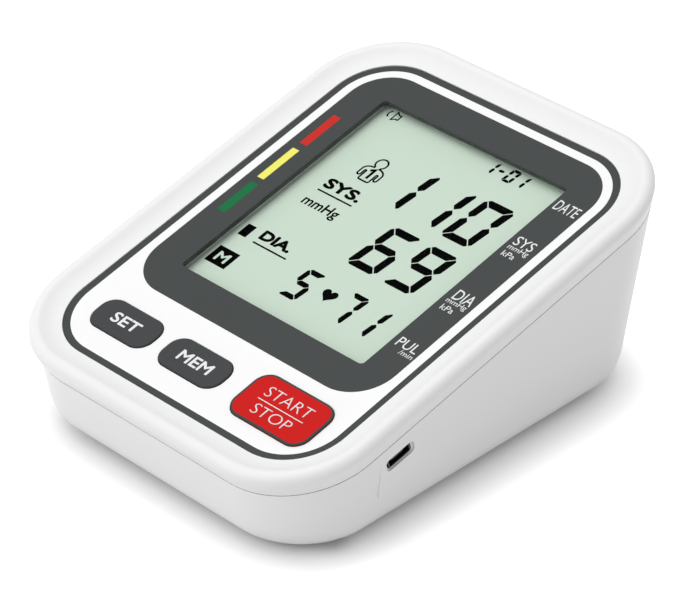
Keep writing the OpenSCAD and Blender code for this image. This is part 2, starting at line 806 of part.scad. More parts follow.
module plunger(i) {
    color([0.85, 0.85, 0.8]) on_face() key_place(i)
        translate([0, 0, -board_depth + switch_h - plunger_down])
            cylinder(r = plunger_r, h = plunger_up + plunger_down);
}
module set_plunger() { plunger(0); }
module memory_plunger() { plunger(1); }
module start_plunger() { plunger(2); }

// A key: rounded cap, flange that stops it under the deck and stem down to its switch.
module key(i, paint) {
    size = key_size(i);
    round_top = 0.4;
    color(paint) on_face() key_place(i) {
        slab(size.x, size.y, key_r, -deck_under - 0.15, key_up - round_top);
        translate([0, 0, key_up - round_top]) {
            swept(size.x - 2 * round_top, size.y - 2 * round_top, key_r - round_top)
                intersection() {
                    translate([-1, 0]) square([1 + round_top, round_top]);
                    union() {
                        circle(round_top);
                        translate([-1, 0]) square([1, round_top]);
                    }
                }
            slab(size.x - 2 * round_top, size.y - 2 * round_top, key_r - round_top, 0, round_top);
        }
        slab(size.x + 2 * flange_edge, size.y + 2 * flange_edge, key_r + flange_edge,
             -deck_under - 0.1 - flange_t, -deck_under - 0.1);
        translate([0, 0, -board_depth + switch_h + plunger_up])
            cylinder(r = stem_r, h = board_depth - switch_h - plunger_up - deck_under - 0.5);
    }
}
module set_key() { key(0, dark_grey); }
module memory_key() { key(1, dark_grey); }
module start_key() { key(2, [0.82, 0.11, 0.11]); }

module usb_receptacle() {
    color([0.75, 0.76, 0.78]) on_face() translate([usb_mouth_u, usb_v, usb_up - board_depth])
        rotate([90, 0, 90]) {
            difference() {
                translate([0, 0, -usb_back]) linear_extrude(usb_back)
                    rounded(usb_shell[0], usb_shell[1], usb_shell_r);
                translate([0, 0, -usb_back + 0.5]) linear_extrude(usb_back)
                    rounded(usb_shell[0] - 2 * usb_shell_t, usb_shell[1] - 2 * usb_shell_t,
                            usb_shell_r - usb_shell_t);
            }
            translate([-usb_tongue.x / 2, -usb_tongue.y / 2, usb_shell_t - usb_back])
                cube(usb_tongue);
        }
}

module cuff_socket() {
    color([0.86, 0.87, 0.88]) translate([-socket_mouth, socket_y, air_z]) rotate([0, 90, 0])
        difference() {
            union() {
                cylinder(r = socket_r, h = socket_collar + socket_flange[1] / 2);
                translate([0, 0, socket_collar])
                    cylinder(r = socket_flange[0], h = socket_flange[1]);
                cylinder(r = socket_neck_r, h = socket_depth + socket_neck);
                cylinder(r = nozzle_r, h = socket_depth + socket_nozzle);
            }
            translate([0, 0, -1]) cylinder(r = socket_bore, h = socket_depth + 1);
            translate([0, 0, -1]) cylinder(r = nozzle_bore, h = socket_depth + socket_nozzle + 2);
        }
}

// Four-way joint of the air path: its upper arm leans with the board's pressure sensor.
module air_manifold() {
    arms = [[0, -sin(tilt), cos(tilt)], [0, 0, -1], [0, -1, 0], [1, 0, 0]];
    color([0.93, 0.93, 0.9]) difference() {
        union() {
            translate(air_centre) sphere(manifold_r);
            for (d = arms) rod(air_centre + arm_root * d, air_centre + air_arm * d, nozzle_r);
        }
        translate(air_centre) sphere(manifold_hollow);
        for (d = arms) rod(air_centre + bore_root * d, air_centre + (air_arm + 1) * d, nozzle_bore);
    }
}

module tube_paint() { color([0.88, 0.9, 0.9]) children(); }

module straight_tube(a, b) {
    difference() {
        rod(a, b, tube_out);
        rod(a + (a - b) / norm(a - b), b + (b - a) / norm(b - a), tube_in);
    }
}

module socket_tube() {
    socket_end = -socket_mouth + socket_depth + socket_neck + 0.2;
    bend_x = air_x - bend_r;
    tube_paint() {
        straight_tube([socket_end, socket_y, air_z], [bend_x, socket_y, air_z]);
        translate([bend_x, socket_y + bend_r, air_z]) rotate([0, 0, -90])
            rotate_extrude(angle = 90) translate([bend_r, 0]) difference() {
                circle(tube_out);
                circle(tube_in);
            }
        straight_tube([air_x, socket_y + bend_r, air_z], [air_x, air_y - tube_start, air_z]);
    }
}

module pump_tube() {
    tube_paint() straight_tube([air_x + tube_start, air_y, air_z],
                               [pump_face_x - 0.2, air_y, air_z]);
}

module valve_tube() {
    tube_paint() straight_tube([air_x, air_y, air_z - tube_start],
                               [air_x, air_y, valve_top + 0.2]);
}

module sensor_tube() {
    tube_paint() straight_tube(
        face_point(air_x, sensor_v, -board_under - sensor_size.z - 0.3),
        face_point(air_x, sensor_v, depth_at(air_y, air_z) + tube_start)
    );
}

module release_valve() {
    color([0.25, 0.4, 0.62]) difference() {
        union() {
            translate([air_x - valve_size.x / 2, air_y - valve_size.y / 2, floor_z + wall])
                cube(valve_size);
            translate([air_x, air_y, valve_top - 1]) cylinder(r = nozzle_r, h = valve_nozzle + 1);
        }
        translate([air_x, air_y, valve_top - 2]) cylinder(r = nozzle_bore, h = valve_nozzle + 4);
    }
}

module pump_head() {
    color([0.13, 0.13, 0.14]) difference() {
        union() {
            translate([pump_face_x, pump_y, pump_z]) rotate([0, 90, 0])
                cylinder(r = pump_r, h = head_l);
            translate([pump_face_x - pump_nozzle, air_y, air_z]) rotate([0, 90, 0])
                cylinder(r = nozzle_r, h = pump_nozzle + 1);
        }
        translate([pump_face_x - 5, air_y, air_z]) rotate([0, 90, 0])
            cylinder(r = nozzle_bore, h = 9);
        translate([pump_face_x, pump_y, pump_z]) rotate([0, 90, 0]) for (a = [0:90:270])
            rotate([0, 0, a]) translate([dimple_ring, 0, -1]) cylinder(r = dimple_r, h = 2);
        translate([pump_split_x - groove_in, pump_y, pump_z]) rotate([0, 90, 0]) difference() {
            cylinder(r = pump_r + 1, h = groove_w);
            cylinder(r = pump_r - groove_deep, h = groove_w);
        }
    }
}

module pump_motor() {
    color([0.78, 0.79, 0.8]) translate([pump_split_x, pump_y, pump_z]) rotate([0, 90, 0]) {
        cylinder(r = motor_r, h = motor_l - 1.5);
        cylinder(r = motor_r - 1.5, h = motor_l - 0.5);
        cylinder(r = motor_axle_r, h = motor_l + 1);
    }
}

module around_pump(x, r_in, r_out) {
    translate([x[0], pump_y, pump_z]) rotate([0, 90, 0]) difference() {
        cylinder(r = r_out, h = x[1] - x[0]);
        translate([0, 0, -1]) cylinder(r = r_in, h = x[1] - x[0] + 2);
    }
}

module motor_sleeve() {
    color([0.2, 0.2, 0.2]) around_pump(sleeve_x, motor_r, motor_r + sleeve_t);
}

module pump_strap() {
    color([0.94, 0.94, 0.94]) {
        around_pump(strap_x, motor_r + sleeve_t, motor_r + sleeve_t + strap_t);
        translate([(strap_x[0] + strap_x[1] - strap_lock.x) / 2, pump_y - strap_lock.y / 2,
                   pump_z + motor_r + sleeve_t + strap_t - 0.3])
            cube(strap_lock);
    }
}

// Every second cell is turned round, so that the contacts link them in a row.
module battery_cells() {
    for (i = [0:cells - 1]) translate([0, cell_y(i), cell_z]) rotate([0, 0, i % 2 * 180])
        color([0.35, 0.36, 0.38]) translate([(spring_l - cell_l) / 2, 0, 0])
            rotate([0, 90, 0]) cell_form();
}

// One cell along Z: can, shoulder and nipple.
module cell_form() {
    can = cell_l - nipple[1];
    cylinder(r = cell_r, h = can - 0.8);
    cylinder(r = cell_r - 0.9, h = can);
    cylinder(r = nipple[0], h = cell_l);
}

// A conical wire spring along Z, from a wide foot to a narrow top.
module cone_spring(height, r_low, r_high) {
    steps = 14 * spring_turns;
    sides = 6;
    ring = [for (i = [0:steps]) let (
        t = i / steps,
        a = 360 * spring_turns * t,
        r = r_low + (r_high - r_low) * t,
        c = [r * cos(a), r * sin(a), spring_wire + (height - 2 * spring_wire) * t]
    ) [for (j = [0:sides - 1]) let (b = 360 * j / sides)
        c + spring_wire * [cos(b) * cos(a), cos(b) * sin(a), sin(b)]]];
    faces = concat(
        [[for (j = [0:sides - 1]) j]],
        [[for (j = [sides - 1:-1:0]) steps * sides + j]],
        [for (i = [0:steps - 1], j = [0:sides - 1])
            let (k = (j + 1) % sides) [i * sides + k, i * sides + j, (i + 1) * sides + j]],
        [for (i = [0:steps - 1], j = [0:sides - 1])
            let (k = (j + 1) % sides) [i * sides + k, (i + 1) * sides + j, (i + 1) * sides + k]]
    );
    polyhedron([for (points = ring) for (p = points) p], faces);
}

module battery_springs() {
    color([0.8, 0.8, 0.78]) for (i = [0:cells - 1]) {
        s = i % 2 == 0 ? -1 : 1;
        translate([s * (bay_half_x - plate_t), cell_y(i), cell_z]) rotate([0, -s * 90, 0])
            cone_spring(spring_l - 0.05, 4.6, 2.2);
    }
}

// Link plates: pairs on the left, single ends with a tab and one pair on the right.
module battery_contacts() {
    module plate(s, a, b, tab) {
        y = cell_y(a) - plate_w / 2;
        l = cell_y(b) + plate_w / 2 - y;
        x = s > 0 ? bay_half_x - plate_t : -bay_half_x;
        translate([x, y, cell_z - plate_w / 2]) cube([plate_t, l, plate_w]);
        if (tab) translate([x, cell_y(a) - 2.5, cell_z]) cube([plate_t, 5, bay_top + 1.5 - cell_z]);
    }
    color([0.82, 0.82, 0.8]) {
        plate(-1, 0, 1, false);
        plate(-1, 2, 3, false);
        plate(1, 0, 0, true);
        plate(1, 1, 2, false);
        plate(1, 3, 3, true);
    }
}

// The cover turns about its front edge, which is rounded about the hinge line.
module battery_cover() {
    front = hinge_y;
    back = bay_y + lid_half_y;
    color(white) {
        difference() {
            union() {
                translate([-lid_half_x, front, floor_z])
                    cube([2 * lid_half_x, back - front, lid_t]);
                translate([-lid_half_x, front, lid_z]) rotate([0, 90, 0])
                    cylinder(r = lid_t, h = 2 * lid_half_x);
            }
            translate([-lid_half_x - 1, front - 5, lid_z])
                cube([2 * lid_half_x + 2, 10, 5]);
            for (i = [0:grips - 1])
                translate([-grip_w / 2, back - 3.5 - grip_pitch * i, floor_z - 0.3])
                    cube([grip_w, grip_pitch / 2, 0.6]);
        }
        for (s = [-1, 1]) translate([s * hook_x - hook_w / 2, 0, lid_z]) {
            translate([0, front - 1, -0.1]) cube([hook_w, 3, hook_high + 0.1]);
            translate([0, front - hook_reach, hook_low])
                cube([hook_w, hook_reach, hook_high - hook_low]);
        }
        translate([-latch_w / 2, bay_y + bay_half_y - latch_t - latch_gap, lid_z - 0.1])
            cube([latch_w, latch_t, latch_h]);
    }
}

module battery_leads() {
    high = bay_top + 1.2;
    tab_x = bay_half_x + 0.7;
    plug = face_point(battery_plug.x, battery_plug.y, -board_under - plug_size.z - 0.2);
    color([0.75, 0.1, 0.1]) wire([
        [tab_x, cell_y(cells - 1), high], [tab_x + 1.5, cell_y(cells - 1), high + 2],
        [plug.x + 1.2, plug.y + 0.6, plug.z - 2], [plug.x + 1.2, plug.y, plug.z]
    ]);
    color([0.1, 0.1, 0.1]) wire([
        [tab_x, cell_y(0), high - 0.4], [tab_x + 4.6, cell_y(0) + 2, high - 0.6],
        [tab_x + 5, bay_y + 8, high], [plug.x - 1.2, plug.y - 2, plug.z - 3],
        [plug.x - 1.2, plug.y, plug.z]
    ]);
}

module pump_leads() {
    plug = face_point(pump_plug.x, pump_plug.y, -board_under - plug_size.z - 0.2);
    x = pump_split_x + motor_l + 0.45;
    color([0.75, 0.1, 0.1]) wire([
        [x, pump_y - 5, pump_z + 3], [x + 3, pump_y - 5, pump_z + 5],
        [plug.x + 1.2, plug.y + 1, plug.z - 4], [plug.x + 1.2, plug.y, plug.z]
    ]);
    color([0.1, 0.1, 0.1]) wire([
        [x, pump_y + 5, pump_z + 3], [x + 4, pump_y + 4, pump_z + 6],
        [plug.x - 1.2, plug.y + 3, plug.z - 4], [plug.x - 1.2, plug.y, plug.z]
    ]);
}

module rubber_feet() {
    color([0.3, 0.3, 0.31]) foot_places() cylinder(r = foot_pad_r, h = foot_pad_t - 0.02);
}

module case_screws() {
    color([0.7, 0.7, 0.72]) screw_places() {
        translate([0, 0, -screw_grip]) cylinder(r = screw_r, h = screw_grip + screw_bite);
        translate([0, 0, -screw_grip - screw_head[1]]) difference() {
            cylinder(r = screw_head[0], h = screw_head[1]);
            for (a = [0, 90]) rotate([0, 0, a]) translate([-slot_l / 2, -slot_w / 2, -1])
                cube([slot_l, slot_w, 1 + slot_deep]);
        }
    }
}

module board_screws() {
    color([0.7, 0.7, 0.72]) on_face() for (x = [-1, 1], y = [-1, 1])
        translate([x * post_u, y * post_v, -board_under]) {
            cylinder(r = board_screw_r, h = board_t + 6);
            translate([0, 0, -board_head_h]) difference() {
                cylinder(r = board_head_r, h = board_head_h);
                for (a = [0, 90]) rotate([0, 0, a]) translate([-1.2, -0.2, -1]) cube([2.4, 0.4, 1.8]);
            }
        }
}

lower_case();
upper_cover();
face_sheet();
face_band();
display_surround();
display_lens();
display_glass();
display_holder();
display_connectors();
main_board();
board_chips();
buzzer();
pressure_sensor();
wire_connectors();
key_switches();
set_key();
memory_key();
start_key();
set_plunger();
memory_plunger();
start_plunger();
usb_receptacle();
cuff_socket();
air_manifold();
socket_tube();
pump_tube();
valve_tube();
sensor_tube();
release_valve();
pump_head();
pump_motor();
motor_sleeve();
pump_strap();
battery_cells();
battery_springs();
battery_contacts();
battery_cover();
battery_leads();
pump_leads();
rubber_feet();
case_screws();
board_screws();
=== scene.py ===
"""Looks of an upper arm blood pressure monitor: plastics, display, print, insides and studio."""

import json
import math

import bmesh
import bpy
from mathutils import Matrix, Vector


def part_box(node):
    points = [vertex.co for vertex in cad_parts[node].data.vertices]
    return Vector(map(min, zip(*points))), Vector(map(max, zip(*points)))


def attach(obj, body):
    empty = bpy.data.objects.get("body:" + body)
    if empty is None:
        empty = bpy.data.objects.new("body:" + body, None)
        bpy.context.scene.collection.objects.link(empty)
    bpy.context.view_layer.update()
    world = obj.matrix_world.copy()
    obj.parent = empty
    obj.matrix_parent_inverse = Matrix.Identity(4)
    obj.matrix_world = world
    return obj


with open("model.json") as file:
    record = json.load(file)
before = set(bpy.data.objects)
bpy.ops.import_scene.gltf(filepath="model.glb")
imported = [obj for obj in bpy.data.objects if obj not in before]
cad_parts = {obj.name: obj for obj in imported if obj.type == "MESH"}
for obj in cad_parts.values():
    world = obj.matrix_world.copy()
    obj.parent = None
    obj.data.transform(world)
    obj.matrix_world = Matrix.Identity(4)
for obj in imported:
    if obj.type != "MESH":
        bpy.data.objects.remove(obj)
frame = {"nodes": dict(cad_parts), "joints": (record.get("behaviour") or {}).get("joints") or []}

bl_info = {
    "name": "Blood Pressure Monitor Looks",
    "version": (1, 0, 0),
    "blender": (4, 5, 0),
    "location": "View3D > Sidebar > Monitor",
    "description": "Dresses the monitor with plastics, a lit display and printed legends",
    "category": "Object",
}

MM = 0.001
INK = 0.02 * MM  # height of a printed or displayed mark
GRAIN = 0.006 * MM  # depth of the moulded grain
SHARP_ANGLE = math.radians(28)  # edges that turn more than this stay sharp
CASE = "case"


def press_direction():
    """The way a key is pressed, which is straight into the sloping face."""
    press = next(joint for joint in frame["joints"] if joint["type"] == "slide")
    return Vector(press["axis"]).normalized()


def face_frame():
    """The frame of the face: X across, Y up the slope and Z out of it, from its middle."""
    inwards = press_direction()
    slope = math.atan2(inwards.y, -inwards.z)
    low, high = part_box("face_band")
    band_depth = 0.5 * MM
    centre = (low + high) / 2 - inwards * band_depth / 2
    return Matrix.Translation(centre) @ Matrix.Rotation(slope, 4, "X")


FACE = face_frame()


def level_of(node):
    """Level of a node's front surface over the face, in metres; it is negative below the face."""
    to_face = FACE.inverted()
    return max((to_face @ vertex.co).z for vertex in frame["nodes"][node].data.vertices)


def colour_prop(name, description, default):
    return bpy.props.FloatVectorProperty(
        name=name, description=description, subtype="COLOR", size=4, min=0, max=1, default=default
    )


def number_prop(name, description, default, top, low=0, **kind):
    return bpy.props.FloatProperty(
        name=name, description=description, default=default, min=low, max=top, **kind
    )


def length_prop(name, description, default_mm, top_mm):
    return number_prop(
        name, description, default_mm * MM, top_mm * MM, unit="LENGTH", precision=5
    )


def place_prop(name, description, default):
    return bpy.props.FloatVectorProperty(
        name=name, description=description, subtype="TRANSLATION", default=default
    )


class MonitorColours(bpy.types.PropertyGroup):
    """Colours of the monitor's plastics, print and display."""

    shell: colour_prop("Shell", "White plastic of both case shells", (0.88, 0.88, 0.89, 1))
    face: colour_prop("Face", "White sheet that carries the keys", (0.94, 0.94, 0.94, 1))
    surround: colour_prop(
        "Surround", "Dark border of the display and band round the face", (0.055, 0.061, 0.06, 1)
    )
    key_dark: colour_prop("Dark keys", "Plastic of the two small keys", (0.052, 0.056, 0.06, 1))
    key_red: colour_prop("Red key", "Plastic of the start and stop key", (0.6, 0.004, 0.003, 1))
    display: colour_prop("Display", "Pale green of the unlit display", (0.585, 0.71, 0.6, 1))
    segment: colour_prop("Segments", "Dark segments of the display", (0.0004, 0.0006, 0.0005, 1))
    legend: colour_prop("Legends", "Pale print on the surround and the keys", (0.82, 0.83, 0.84, 1))
    scale_red: colour_prop("High bar", "Top bar of the pressure scale", (0.6, 0.022, 0.015, 1))
    scale_yellow: colour_prop("Middle bar", "Middle bar of the pressure scale", (0.88, 0.86, 0.16, 1))
    scale_green: colour_prop("Low bar", "Bottom bar of the pressure scale", (0.003, 0.17, 0.05, 1))


class MonitorSizes(bpy.types.PropertyGroup):
    """Sizes of the printed and displayed marks."""

    big_digit: length_prop("Large digit height", "Height of the two pressure readings", 16.7, 20)
    big_width: length_prop("Large digit width", "Width of one large digit", 10.15, 14)
    big_pitch: length_prop("Large digit pitch", "Distance between large digits", 12.92, 18)
    small_digit: length_prop("Pulse digit height", "Height of the pulse reading", 11.1, 14)
    small_width: length_prop("Pulse digit width", "Width of one pulse digit", 6.1, 9)
    small_pitch: length_prop("Pulse digit pitch", "Distance between pulse digits", 8.5, 12)
    date_digit: length_prop("Date digit height", "Height of the date", 5.05, 8)
    date_width: length_prop("Date digit width", "Width of one date digit", 3.0, 5)
    line: length_prop("Line thickness", "Width of the thin lines on keys and display", 0.52, 1)


class MonitorStudio(bpy.types.PropertyGroup):
    """Floor, lamps and camera."""

    floor: colour_prop("Floor", "Plain pale floor", (0.8, 0.8, 0.8, 1))
    glow: number_prop("Glow", "Brightness that the floor adds for camera and reflections", 0.7, 2)
    # Reach of the painted contact shadow on the floor.
    shade: length_prop("Shade", "How far round the monitor the floor's glow is dimmed", 16, 50)
    sky: number_prop("Sky", "Even light from all round", 0.57, 2)
    key_light: number_prop("Key lamp", "Power of the large lamp overhead", 6.3, 60, unit="POWER")
    key_place: place_prop(
        "Key lamp's place", "Over the monitor, a little to the left", (-0.25, -0.05, 1.25)
    )
    fill_light: number_prop("Fill lamp", "Power of the lamp in front", 3.3, 60, unit="POWER")
    fill_place: place_prop(
        "Fill lamp's place", "In front of the monitor, a little to the left", (-0.35, -1.0, 0.75)
    )
    lens: number_prop("Lens", "Focal length", 184.87, 400, low=20)
    azimuth: bpy.props.FloatProperty(
        name="Azimuth", description="Turn of the camera round the monitor", subtype="ANGLE",
        default=math.radians(45.891),
    )
    elevation: bpy.props.FloatProperty(
        name="Elevation", description="Downward tilt of the camera", subtype="ANGLE",
        default=math.radians(31.564),
    )
    place: place_prop(
        "Camera place", "Camera's place from the middle of the face", (0.5484, -0.5305, 0.4547)
    )


def link(tree, source, target):
    """Joins two sockets of a node tree."""
    tree.links.new(source, target)


def add_node(tree, kind, place, **settings):
    """A new node at a place in the editor, with its settings."""
    node = tree.nodes.new(kind)
    node.location = place
    for name, value in settings.items():
        setattr(node, name, value)
    return node


def new_group(name, inputs, outputs):
    """A shader node group with the named sockets; inputs are (name, socket kind, default)."""
    group = bpy.data.node_groups.new(name, "ShaderNodeTree")
    for socket_name, kind, default in inputs:
        socket = group.interface.new_socket(socket_name, in_out="INPUT", socket_type=kind)
        if default is not None:
            socket.default_value = default
    for socket_name, kind in outputs:
        group.interface.new_socket(socket_name, in_out="OUTPUT", socket_type=kind)
    start = add_node(group, "NodeGroupInput", (-900, 0))
    end = add_node(group, "NodeGroupOutput", (700, 0))
    return group, start, end


def moulded_plastic_group():
    """Slow drift of tone and roughness, and the height of a fine spark-eroded grain."""
    name = "moulded_plastic"
    if name in bpy.data.node_groups:
        return bpy.data.node_groups[name]
    group, start, end = new_group(
        name,
        [
            ("Vector", "NodeSocketVector", None),
            ("Colour", "NodeSocketColor", (0.8, 0.8, 0.8, 1)),
            ("Tone drift", "NodeSocketFloat", 0.03),
            ("Roughness", "NodeSocketFloat", 0.35),
            ("Roughness drift", "NodeSocketFloat", 0.08),
            ("Grain scale", "NodeSocketFloat", 2500.0),
        ],
        [("Colour", "NodeSocketColor"), ("Roughness", "NodeSocketFloat"), ("Height", "NodeSocketFloat")],
    )
    drift = add_node(group, "ShaderNodeTexNoise", (-600, 200))
    drift.inputs["Scale"].default_value = 28.0
    drift.inputs["Detail"].default_value = 3.0
    link(group, start.outputs["Vector"], drift.inputs["Vector"])
    grain = add_node(group, "ShaderNodeTexNoise", (-600, -200))
    grain.inputs["Detail"].default_value = 2.0
    link(group, start.outputs["Vector"], grain.inputs["Vector"])
    link(group, start.outputs["Grain scale"], grain.inputs["Scale"])
    centred = add_node(group, "ShaderNodeMath", (-400, 200), operation="SUBTRACT")
    centred.inputs[1].default_value = 0.5
    link(group, drift.outputs["Fac"], centred.inputs[0])
    shift = add_node(group, "ShaderNodeMath", (-200, 250), operation="MULTIPLY_ADD")
    shift.inputs[2].default_value = 1.0
    link(group, centred.outputs[0], shift.inputs[0])
    link(group, start.outputs["Tone drift"], shift.inputs[1])
    toned = add_node(group, "ShaderNodeVectorMath", (0, 250), operation="SCALE")
    link(group, start.outputs["Colour"], toned.inputs[0])
    link(group, shift.outputs[0], toned.inputs["Scale"])
    link(group, toned.outputs[0], end.inputs["Colour"])
    rough = add_node(group, "ShaderNodeMath", (0, 0), operation="MULTIPLY_ADD")
    link(group, centred.outputs[0], rough.inputs[0])
    link(group, start.outputs["Roughness drift"], rough.inputs[1])
    link(group, start.outputs["Roughness"], rough.inputs[2])
    link(group, rough.outputs[0], end.inputs["Roughness"])
    link(group, grain.outputs["Fac"], end.inputs["Height"])
    return group


def brushed_metal_group():
    """Fine lines drawn along X, for sheet metal and turned parts."""
    name = "brushed_metal"
    if name in bpy.data.node_groups:
        return bpy.data.node_groups[name]
    group, start, end = new_group(
        name,
        [
            ("Vector", "NodeSocketVector", None),
            ("Colour", "NodeSocketColor", (0.6, 0.6, 0.6, 1)),
            ("Line scale", "NodeSocketFloat", 900.0),
            ("Roughness", "NodeSocketFloat", 0.3),
        ],
        [("Colour", "NodeSocketColor"), ("Roughness", "NodeSocketFloat"), ("Height", "NodeSocketFloat")],
    )
    stretched = add_node(group, "ShaderNodeVectorMath", (-700, 0), operation="MULTIPLY")
    stretched.inputs[1].default_value = (0.03, 1, 1)
    link(group, start.outputs["Vector"], stretched.inputs[0])
    lines = add_node(group, "ShaderNodeTexNoise", (-500, 0))
    link(group, stretched.outputs[0], lines.inputs["Vector"])
    link(group, start.outputs["Line scale"], lines.inputs["Scale"])
    level = add_node(group, "ShaderNodeMapRange", (-250, 150))
    level.inputs["To Min"].default_value = 0.86
    level.inputs["To Max"].default_value = 1.08
    link(group, lines.outputs["Fac"], level.inputs["Value"])
    toned = add_node(group, "ShaderNodeVectorMath", (0, 200), operation="SCALE")
    link(group, start.outputs["Colour"], toned.inputs[0])
    link(group, level.outputs[0], toned.inputs["Scale"])
    link(group, toned.outputs[0], end.inputs["Colour"])
    rough = add_node(group, "ShaderNodeMath", (0, 0), operation="MULTIPLY")
    link(group, level.outputs[0], rough.inputs[0])
    link(group, start.outputs["Roughness"], rough.inputs[1])
    link(group, rough.outputs[0], end.inputs["Roughness"])
    link(group, lines.outputs["Fac"], end.inputs["Height"])
    return group


def base_material(name):
    """A material with its Principled shader and Object coordinates."""
    material = bpy.data.materials.new(name)
    material.use_nodes = True
    tree = material.node_tree
    tree.nodes.clear()
    output = add_node(tree, "ShaderNodeOutputMaterial", (500, 0))
    shader = add_node(tree, "ShaderNodeBsdfPrincipled", (200, 0))
    place = add_node(tree, "ShaderNodeTexCoord", (-900, 0))
    link(tree, shader.outputs["BSDF"], output.inputs["Surface"])
    return material, tree, shader, place


def group_node(tree, group, place, **values):
    """Puts a shared group into a material and sets its inputs, with words joined by underscores."""
    node = add_node(tree, "ShaderNodeGroup", place)
    node.node_tree = group
    for name, value in values.items():
        node.inputs[name.replace("_", " ").capitalize()].default_value = value
    return node


def bump_from(tree, height, shader, depth):
    """Turns a height into a bump of a given depth on the shader."""
    bump = add_node(tree, "ShaderNodeBump", (-50, -300))
    bump.inputs["Distance"].default_value = depth
    bump.inputs["Strength"].default_value = 0.6
    link(tree, height, bump.inputs["Height"])
    link(tree, bump.outputs["Normal"], shader.inputs["Normal"])


def plastic(name, colour, roughness=0.35, drift=0.03, grain=2500.0, depth=GRAIN, shine=0.5):
    """Moulded plastic with a faint grain."""
    material, tree, shader, place = base_material(name)
    body = group_node(
        tree, moulded_plastic_group(), (-450, 0), colour=colour, tone_drift=drift, roughness=roughness,
        grain_scale=grain,
    )
    link(tree, place.outputs["Object"], body.inputs["Vector"])
    link(tree, body.outputs["Colour"], shader.inputs["Base Color"])
    link(tree, body.outputs["Roughness"], shader.inputs["Roughness"])
    shader.inputs["Specular IOR Level"].default_value = shine
    bump_from(tree, body.outputs["Height"], shader, depth)
    return material


def shell_material(colour):
    """White case plastic, with painted shade in the joints with other pieces but not in its own corners.
    """
    material, tree, shader, place = base_material("shell_white")
    body = group_node(
        tree, moulded_plastic_group(), (-650, 0), colour=colour, tone_drift=0.012, roughness=0.4
    )
    link(tree, place.outputs["Object"], body.inputs["Vector"])
    # Painted shade: ambient occlusion by other pieces, divided by the shell's own, darkens the base colour
    # in the joints.
    reach = 1.2 * MM
    near_all = add_node(tree, "ShaderNodeAmbientOcclusion", (-650, 350), samples=8)
    near_all.inputs["Distance"].default_value = reach
    near_own = add_node(tree, "ShaderNodeAmbientOcclusion", (-650, 550), samples=8, only_local=True)
    near_own.inputs["Distance"].default_value = reach
    shade_from_others = add_node(tree, "ShaderNodeMath", (-450, 400), operation="DIVIDE")
    link(tree, near_all.outputs["AO"], shade_from_others.inputs[0])
    link(tree, near_own.outputs["AO"], shade_from_others.inputs[1])
    painted_joint_shade = add_node(tree, "ShaderNodeMapRange", (-250, 250))
    painted_joint_shade.inputs["From Min"].default_value = 0.4
    painted_joint_shade.inputs["From Max"].default_value = 0.9
    painted_joint_shade.inputs["To Min"].default_value = 0.35
    link(tree, shade_from_others.outputs[0], painted_joint_shade.inputs["Value"])
    shaded = add_node(tree, "ShaderNodeVectorMath", (-50, 150), operation="SCALE")
    link(tree, body.outputs["Colour"], shaded.inputs[0])
    link(tree, painted_joint_shade.outputs["Result"], shaded.inputs["Scale"])
    link(tree, shaded.outputs[0], shader.inputs["Base Color"])
    link(tree, body.outputs["Roughness"], shader.inputs["Roughness"])
    shader.inputs["Specular IOR Level"].default_value = 0.3
    bump_from(tree, body.outputs["Height"], shader, GRAIN)
    return material


def metal(name, colour, roughness=0.3, lines=900.0):
    """Bright metal with drawn lines."""
    material, tree, shader, place = base_material(name)
    body = group_node(
        tree, brushed_metal_group(), (-450, 0), colour=colour, line_scale=lines, roughness=roughness
    )
    link(tree, place.outputs["Object"], body.inputs["Vector"])
    link(tree, body.outputs["Colour"], shader.inputs["Base Color"])
    link(tree, body.outputs["Roughness"], shader.inputs["Roughness"])
    shader.inputs["Metallic"].default_value = 1.0
    bump_from(tree, body.outputs["Height"], shader, 0.004 * MM)
    return material


def display_material(colour):
    """Pale reflective display with a slow change of tint."""
    material, tree, shader, place = base_material("display_glass_green")
    body = group_node(
        tree, moulded_plastic_group(), (-450, 200), colour=colour, tone_drift=0.035, roughness=0.4
    )
    link(tree, place.outputs["Object"], body.inputs["Vector"])
    link(tree, body.outputs["Colour"], shader.inputs["Base Color"])
    link(tree, body.outputs["Roughness"], shader.inputs["Roughness"])
    shader.inputs["Specular IOR Level"].default_value = 0.25
    return material


def lens_material():
    """Clear window: nearly all of the light passes and a faint sheen stays."""
    material, tree, shader, place = base_material("clear_window")
    haze = add_node(tree, "ShaderNodeTexNoise", (-500, 0))
    haze.inputs["Scale"].default_value = 40.0
    link(tree, place.outputs["Object"], haze.inputs["Vector"])
    veil = add_node(tree, "ShaderNodeMapRange", (-250, 0))
    veil.inputs["To Min"].default_value = 0.0002
    veil.inputs["To Max"].default_value = 0.001
    link(tree, haze.outputs["Fac"], veil.inputs["Value"])
    link(tree, veil.outputs[0], shader.inputs["Alpha"])
    shader.inputs["Base Color"].default_value = (0.9, 0.96, 0.93, 1)
    shader.inputs["Roughness"].default_value = 0.08
    return material


def board_material():
    """Green board with a faint pattern of tracks under the lacquer."""
    material, tree, shader, place = base_material("board_lacquer")
    tracks = add_node(tree, "ShaderNodeTexBrick", (-500, 0))
    tracks.inputs["Scale"].default_value = 90.0
    tracks.inputs["Mortar Size"].default_value = 0.03
    tracks.inputs["Color1"].default_value = (0.012, 0.1, 0.035, 1)
    tracks.inputs["Color2"].default_value = (0.016, 0.13, 0.045, 1)
    tracks.inputs["Mortar"].default_value = (0.03, 0.2, 0.08, 1)
    link(tree, place.outputs["Object"], tracks.inputs["Vector"])
    link(tree, tracks.outputs["Color"], shader.inputs["Base Color"])
    shader.inputs["Roughness"].default_value = 0.3
    return material


